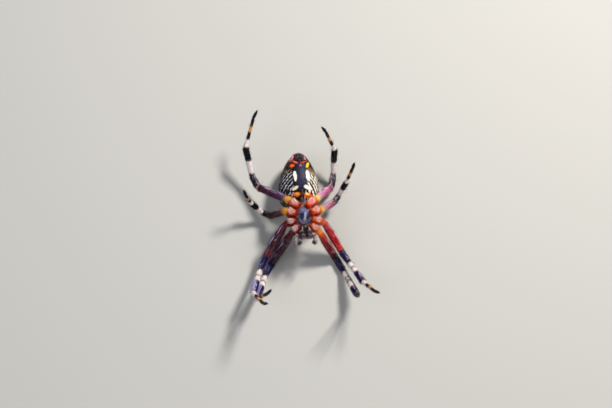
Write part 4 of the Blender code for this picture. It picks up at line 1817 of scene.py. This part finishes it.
# How far hairs of one coat differ, as shares of their lift, length and width.
LIFT_SPREAD = (0.7, 1.3)
LENGTH_SPREAD = (0.7, 1.25)
WIDTH_SPREAD = (0.8, 1.2)


def chart_places(roots):
    """Where roots lie on the skin's unwrap, from 0 to 1 each way."""
    chart = roots["chart"]
    around = np.arctan2(chart[:, 1], chart[:, 0]) / math.tau + 0.5
    return np.stack([around, chart[:, 2]], axis=1) * (1 - HAIR_PATCH)


def hair_points(roots, random, length, width, lift, droop, swing):
    """The seven corners of every hair, in millimetres."""
    count = len(roots["co"])
    normal = unit_rows(roots["normal"])
    lie = roots["lie"] - normal * (roots["lie"] * normal).sum(axis=1)[:, None]
    lie = unit_rows(lie)
    lie = unit_rows(lie + np.cross(normal, lie) * random.normal(0, swing, count)[:, None])
    rise = np.radians(lift * random.uniform(*LIFT_SPREAD, count))[:, None]
    first = lie * np.cos(rise) + normal * np.sin(rise)
    second = lie * np.cos(rise * (1 - droop)) + normal * np.sin(rise * (1 - droop))
    long = (length * random.uniform(*LENGTH_SPREAD, count))[:, None]
    thick = (width * random.uniform(*WIDTH_SPREAD, count))[:, None] / 2
    side = unit_rows(np.cross(normal, first))
    other = np.cross(first, side)
    base = roots["co"] - normal * ROOT_DEPTH
    middle = base + first * long * 0.5
    tip = middle + second * long * 0.5
    for bend in (middle, tip):
        bend[:, 2] = np.maximum(bend[:, 2], LOWEST_BEND)
    points = np.empty((count, HAIR_CORNERS, 3))
    for corner in range(3):
        angle = corner * math.tau / 3
        ring = (side * math.cos(angle) + other * math.sin(angle)) * thick
        points[:, corner] = base + ring
        points[:, corner + 3] = middle + ring * MIDDLE_WIDTH
    points[:, 6] = tip
    return points


def store_at_roots(mesh, roots, values):
    """Gives every corner of a hair what its root stores, for the colours."""
    for key in ("run", "top"):
        if key in roots:
            values[key] = roots[key][:, 0]
    for key, value in values.items():
        layer = mesh.attributes.new(key, "FLOAT", "POINT")
        layer.data.foreach_set("value", np.repeat(value, HAIR_CORNERS))
    for key in ("place", "chart"):
        if key in roots:
            layer = mesh.attributes.new(key, "FLOAT_VECTOR", "POINT")
            rows = np.repeat(roots[key], HAIR_CORNERS, axis=0)
            layer.data.foreach_set("vector", rows.ravel())


def hair_mesh(name, roots, random, length, width, lift, droop=0.5, swing=0.35, glint=0.0):
    """All the hairs of one coat; length, width, lift and glint may vary from root to root."""
    count = len(roots["co"])
    points = hair_points(roots, random, length, width, lift, droop, swing)
    loops = np.concatenate([np.array(face) for face in HAIR_FACES])
    starts = np.cumsum([0] + [len(face) for face in HAIR_FACES[:-1]])
    steps = np.arange(count)[:, None]
    all_loops = (loops[None, :] + steps * HAIR_CORNERS).ravel()
    mesh = bpy.data.meshes.new(name)
    mesh.vertices.add(count * HAIR_CORNERS)
    mesh.vertices.foreach_set("co", (points * MM).ravel())
    mesh.loops.add(len(all_loops))
    mesh.loops.foreach_set("vertex_index", all_loops)
    mesh.polygons.add(count * len(HAIR_FACES))
    mesh.polygons.foreach_set("loop_start", (starts[None, :] + steps * len(loops)).ravel())
    mesh.update(calc_edges=True)
    mesh.shade_smooth()
    patch = np.array(HAIR_PATCH_PLACES)[loops] * HAIR_PATCH
    places = chart_places(roots)[:, None, :] + patch[None, :, :]
    mesh.uv_layers.new(name="OFBake").data.foreach_set("uv", places.ravel())
    glints = (random.random(count) < glint).astype(float)
    store_at_roots(mesh, roots, {"shade": random.random(count), "glint": glints})
    return mesh


def grow(name, skin, material, slot, count, seed, density, **look):
    """Scatters roots, makes the hairs and shows them; a look value may be a rule on roots."""
    random = np.random.default_rng(seed)
    roots = scatter(skin, count, density, random)
    look = {key: rule(roots) if callable(rule) else rule for key, rule in look.items()}
    mesh = hair_mesh(name, roots, random, **look)
    mesh.materials.append(material)
    return show(name, mesh)


def everywhere(layers):
    return np.ones(len(layers["co"]))


print("corners and faces of a hair:", HAIR_CORNERS, len(HAIR_FACES))

# %% [markdown]
# ## The coat of the legs
# Three kinds grow on a leg: a short coat that lies low towards the foot, longer bristles
# that stand off, and a few stout dark spines. The hips wear a thick pale patch on the viewed
# side, parted once or twice: pale hairs with a painted highlight. The thigh is thinly haired
# so that its red shows, and the hairs get shorter towards the claw.

# %% Rules for the leg's hairs
# Where the hips wear their patch: its turn from the viewed side to the rear, in radians.
HIP_PATCH_TURN = 0.45
# Hips whose dome is parted more than once: where, and how much each parting sways.
HIP_PARTINGS = {("right", 2): ((-0.5, 0.35), 0.06), ("right", 1): ((-0.3, 0.5), 0.2)}
ONE_PARTING = ((0.0,), 0.35)
PARTING_WIDTH = 0.15
PARTING_WAVES = 9


def run_of(roots):
    return roots["run"][:, 0]


def between(run, opens, closes):
    """1 between two soft edges, each given by its start and its end."""
    return smooth_share(*opens, run) * (1 - smooth_share(*closes, run))


def on_hip(run):
    return 1 - smooth_share(0.9, 1.3, run)


def leg_density(layers):
    """Thick on the hips' viewed side, thin along the thigh and even on the rest."""
    run, top = run_of(layers), layers["top"][:, 0]
    hip = on_hip(run)
    thigh = between(run, (1.6, 2.1), (2.85, 3.0))
    return 1.0 + hip * (0.6 + 1.6 * smooth_share(0.1, 0.7, top)) - 0.35 * thigh


def leg_coat_length(roots):
    run = run_of(roots)
    return 0.24 + 0.05 * on_hip(run) - 0.10 * smooth_share(4.6, 6.0, run)


def leg_bristle_length(roots):
    return 0.40 - 0.14 * smooth_share(4.8, 6.2, run_of(roots))


def leg_glint(leg):
    """A rule for pale hairs: a parted dome on each hip, also a painted highlight, and a few
    along thigh and knee.
    """
    def rule(roots):
        run = run_of(roots)
        rearward = roots["chart"][:, 1] * np.sign(sternum_middle.x - roots["co"][:, 0])
        aside = np.arctan2(rearward, roots["chart"][:, 0]) - HIP_PATCH_TURN
        dome = 1 - smooth_share(0.6, 1.1, np.hypot((run - 0.56) / 0.42, aside / 1.2))
        starts, sway = HIP_PARTINGS.get(leg, ONE_PARTING)
        for start in starts:
            away = aside - start - sway * np.sin(run * PARTING_WAVES)
            dome *= 1 - 0.8 * np.exp(-(away / PARTING_WIDTH) ** 2)
        upper = between(run, (1.9, 2.1), (4.0, 4.1))
        return np.clip(0.01 + 0.98 * dome * (run < 1.1) + 0.05 * upper, 0, 1)
    return rule


# %% Leg coats
LEG_COAT_HAIRS = 7500
LEG_BRISTLES = 1500
LEG_SPINES = 34
SPINE_TRIES = 600
SPINE_GAP = 0.5
COAT_SEED, BRISTLE_SEED, SPINE_SEED = 100, 200, 300


def spine_density(layers):
    """Spines stand from the thigh to the start of the foot."""
    return between(run_of(layers), (2.15, 2.3), (5.7, 5.9))


def spread_spines(skin, random):
    """Roots at least a small gap apart."""
    roots = scatter(skin, SPINE_TRIES, spine_density, random)
    kept = []
    for index, place in enumerate(roots["co"]):
        if all(np.linalg.norm(place - roots["co"][other]) > SPINE_GAP for other in kept):
            kept.append(index)
        if len(kept) == LEG_SPINES:
            break
    return {name: values[kept] for name, values in roots.items()}


spine_material = shell_material("spine_horn", "0c0808", "3a2420", 9.0, 0.3, 0.4)
for number, (leg, skin) in enumerate(leg_skins.items()):
    side, pair = leg
    material = leg_hair_material(leg)
    grow(
        f"coat_leg_{pair}_{side}", skin, material, "leg_banded", LEG_COAT_HAIRS,
        COAT_SEED + number, leg_density, length=leg_coat_length, width=0.021, lift=20,
        swing=0.3, glint=leg_glint(leg),
    )
    grow(
        f"bristles_leg_{pair}_{side}", skin, material, "leg_banded", LEG_BRISTLES,
        BRISTLE_SEED + number, leg_density, length=leg_bristle_length, width=0.015, lift=46,
        droop=0.35, swing=0.4, glint=0.06,
    )
    random = np.random.default_rng(SPINE_SEED + number)
    roots = spread_spines(skin, random)
    mesh = hair_mesh(
        f"spines_leg_{pair}_{side}", roots, random, length=0.72, width=0.045, lift=42,
        droop=0.2, swing=0.2,
    )
    mesh.materials.append(spine_material)
    show(f"spines_leg_{pair}_{side}", mesh)
print("hairs and spines per leg:", LEG_COAT_HAIRS + LEG_BRISTLES, LEG_SPINES)

# %% [markdown]
# ## The coat of the body
# The abdomen has a short, silky coat that lies back towards the spinnerets and takes the
# colour of the marks under it. The back shield's hairs lie back too, and a third of them are
# pale. The breast plate has navy and lilac hairs, with few lilac ones in two dark patches,
# and light blue hairs at its rear. Reddish and pale hairs cover the skin between the hips.
# A coat covers the feelers, and bristles stand on jaws and mouth plates and fringe the
# spinnerets.

# %% Abdomen coat
ABDOMEN_HAIRS = 17000
ABDOMEN_BRISTLES = 2600


def abdomen_density(layers):
    """None on the spinnerets, and thicker towards the sides."""
    place = layers["place"]
    reach = np.linalg.norm(place - np.array(SPINNERET_PLACE), axis=1)
    aside = smooth_share(1.0, 2.6, np.abs(place[:, 0]))
    return smooth_share(0.6, 1.1, reach) * (1 + 0.8 * aside)


abdomen_hair_material = abdomen_material("abdomen_hair", 0.45, 0.0, True)
grow(
    "coat_abdomen", abdomen, abdomen_hair_material, "abdomen_black", ABDOMEN_HAIRS, 11,
    abdomen_density, length=0.18, width=0.016, lift=20, swing=0.35, glint=0.012,
)
grow(
    "bristles_abdomen", abdomen, abdomen_hair_material, "abdomen_black", ABDOMEN_BRISTLES, 12,
    abdomen_density, length=0.32, width=0.014, lift=42, droop=0.4, swing=0.4, glint=0.10,
)
print("hairs on the abdomen:", ABDOMEN_HAIRS + ABDOMEN_BRISTLES)


# %% Front body coats
def carapace_density(layers):
    """Keeps hairs off the shield's flat face, which the body hides."""
    edge = carapace_high.z - 0.1
    return 1 - smooth_share(edge - 0.1, edge, layers["co"][:, 2])


carapace_hair = plain_hair_material("carapace_hair", "3a2a20", "b8a894", "e8e0d4")
grow(
    "coat_carapace", carapace, carapace_hair, "carapace_brown", 7000, 13, carapace_density,
    length=0.24, width=0.017, lift=20, swing=0.5, glint=0.35,
)


def from_sternum(roots):
    """How far roots lie from the breast plate's middle, across and along the body, in mm."""
    return roots["co"][:, 0] - sternum_middle.x, roots["co"][:, 1] - sternum_middle.y


def sternum_glint(roots):
    """Pale hairs all over the breast plate, but few in the dark patch on each side."""
    across, along = from_sternum(roots)
    patches = np.exp(-((np.abs(across - 0.1) - 0.46) / 0.27) ** 2 - ((along + 0.25) / 0.5) ** 2)
    return np.clip(0.45 - 0.8 * patches, 0.02, 1)


def sternum_density(layers):
    """Hairs on the plate's viewed side only."""
    return smooth_share(sternum_middle.z, sternum_middle.z + 0.2, layers["co"][:, 2])


def sternum_rear(roots):
    """A spot in the middle of the plate's rear."""
    across, along = from_sternum(roots)
    return np.exp(-((across - 0.05) / 0.4) ** 2 - ((along - 0.66) / 0.28) ** 2)


sternum_hair = plain_hair_material("sternum_hair", "02031a", "0c1656", "ccc8f4")
grow(
    "coat_sternum", sternum, sternum_hair, "sternum_navy", 1500, 14, sternum_density,
    length=0.22, width=0.016, lift=28, swing=0.4, glint=sternum_glint,
)
rear_hair = plain_hair_material("sternum_rear_hair", "2a58c8", "74a8ff", "dce8ff")
grow(
    "coat_sternum_rear", sternum, rear_hair, "sternum_navy", 560, 16, sternum_rear,
    length=0.18, width=0.018, lift=24, swing=0.4, glint=0.3,
)
membrane_hair = plain_hair_material("membrane_hair", "7a2a20", "e0a09a", "f0d8dc")
grow(
    "coat_membrane", membrane, membrane_hair, "coxa_orange", 3000, 15, everywhere,
    length=0.2, width=0.016, lift=30, swing=0.5, glint=0.4,
)

# %% Coats of mouth, feelers and spinnerets
mouth_hair = plain_hair_material("mouth_hair", "0a0608", "30202a", "b49aa8")
for number, piece in enumerate(mouth_pieces):
    if piece.name.startswith("fang"):
        continue
    grow(
        f"bristles_{piece.name}", piece, mouth_hair, "mouthpart_dark", 360, 20 + number,
        everywhere, length=0.20, width=0.013, lift=35, swing=0.5, glint=0.14,
    )
palp_hair_material = palp_material("palp_hair", True)


def palp_coat_length(roots):
    return 0.25 - 0.13 * smooth_share(3.4, 4.6, run_of(roots))


for number, (side, skin) in enumerate(palps.items()):
    grow(
        f"coat_palp_{side}", skin, palp_hair_material, "palp_pale", 1500, 30 + number,
        everywhere, length=palp_coat_length, width=0.016, lift=32, droop=0.4, swing=0.3,
        glint=0.2,
    )
grow(
    "fringe_spinnerets", spinnerets, mouth_hair, "abdomen_black", 900, 40, everywhere,
    length=0.14, width=0.018, lift=40, swing=0.6, glint=0.3,
)
coats = [p.name for p in bpy.data.objects if p.type == "MESH" and "OFBake" in p.data.uv_layers]
print("coats:", len(coats))

# %% [markdown]
# ## Claws
# An orb weaver's foot ends in three claws, two combed ones side by side and a small hook
# between them that grips the thread. The model has the claws without their combs: each is a
# small bent tube, in the same horn as the fangs.

# %% Claws
# Each claw: sideways offset, length, radius, how far it curls.
CLAWS = ((-0.07, 0.30, 0.030, 0.16), (0.07, 0.30, 0.030, 0.16), (0.0, 0.20, 0.024, 0.14))
CLAW_STEPS = 6
CLAW_ROOT = 0.06


def claw_shapes(stations):
    """The three claws at the end of one leg."""
    end, before = stations[-1][0], stations[-4][0]
    way = (end - before).normalized()
    across = way.cross(Vector((0, 0, 1)))
    if across.length < 0.1:
        across = Vector((1, 0, 0))
    across.normalize()
    down = way.cross(across).normalized()
    shapes = []
    for offset, length, radius, curl in CLAWS:
        claw = []
        for step in range(CLAW_STEPS + 1):
            share = step / CLAW_STEPS
            place = end - way * CLAW_ROOT + across * offset * (1 + share)
            place = place + way * length * share + down * curl * share ** 2
            claw.append((place, radius * (1.05 - share), share))
        shapes.append(tube(claw, 14, 8, 1))
    return shapes


claw_list = [shape for stations in legs.values() for shape in claw_shapes(stations)]
finish_piece("claws", joined(claw_list), fang_material)
print("claws:", len(claw_list))
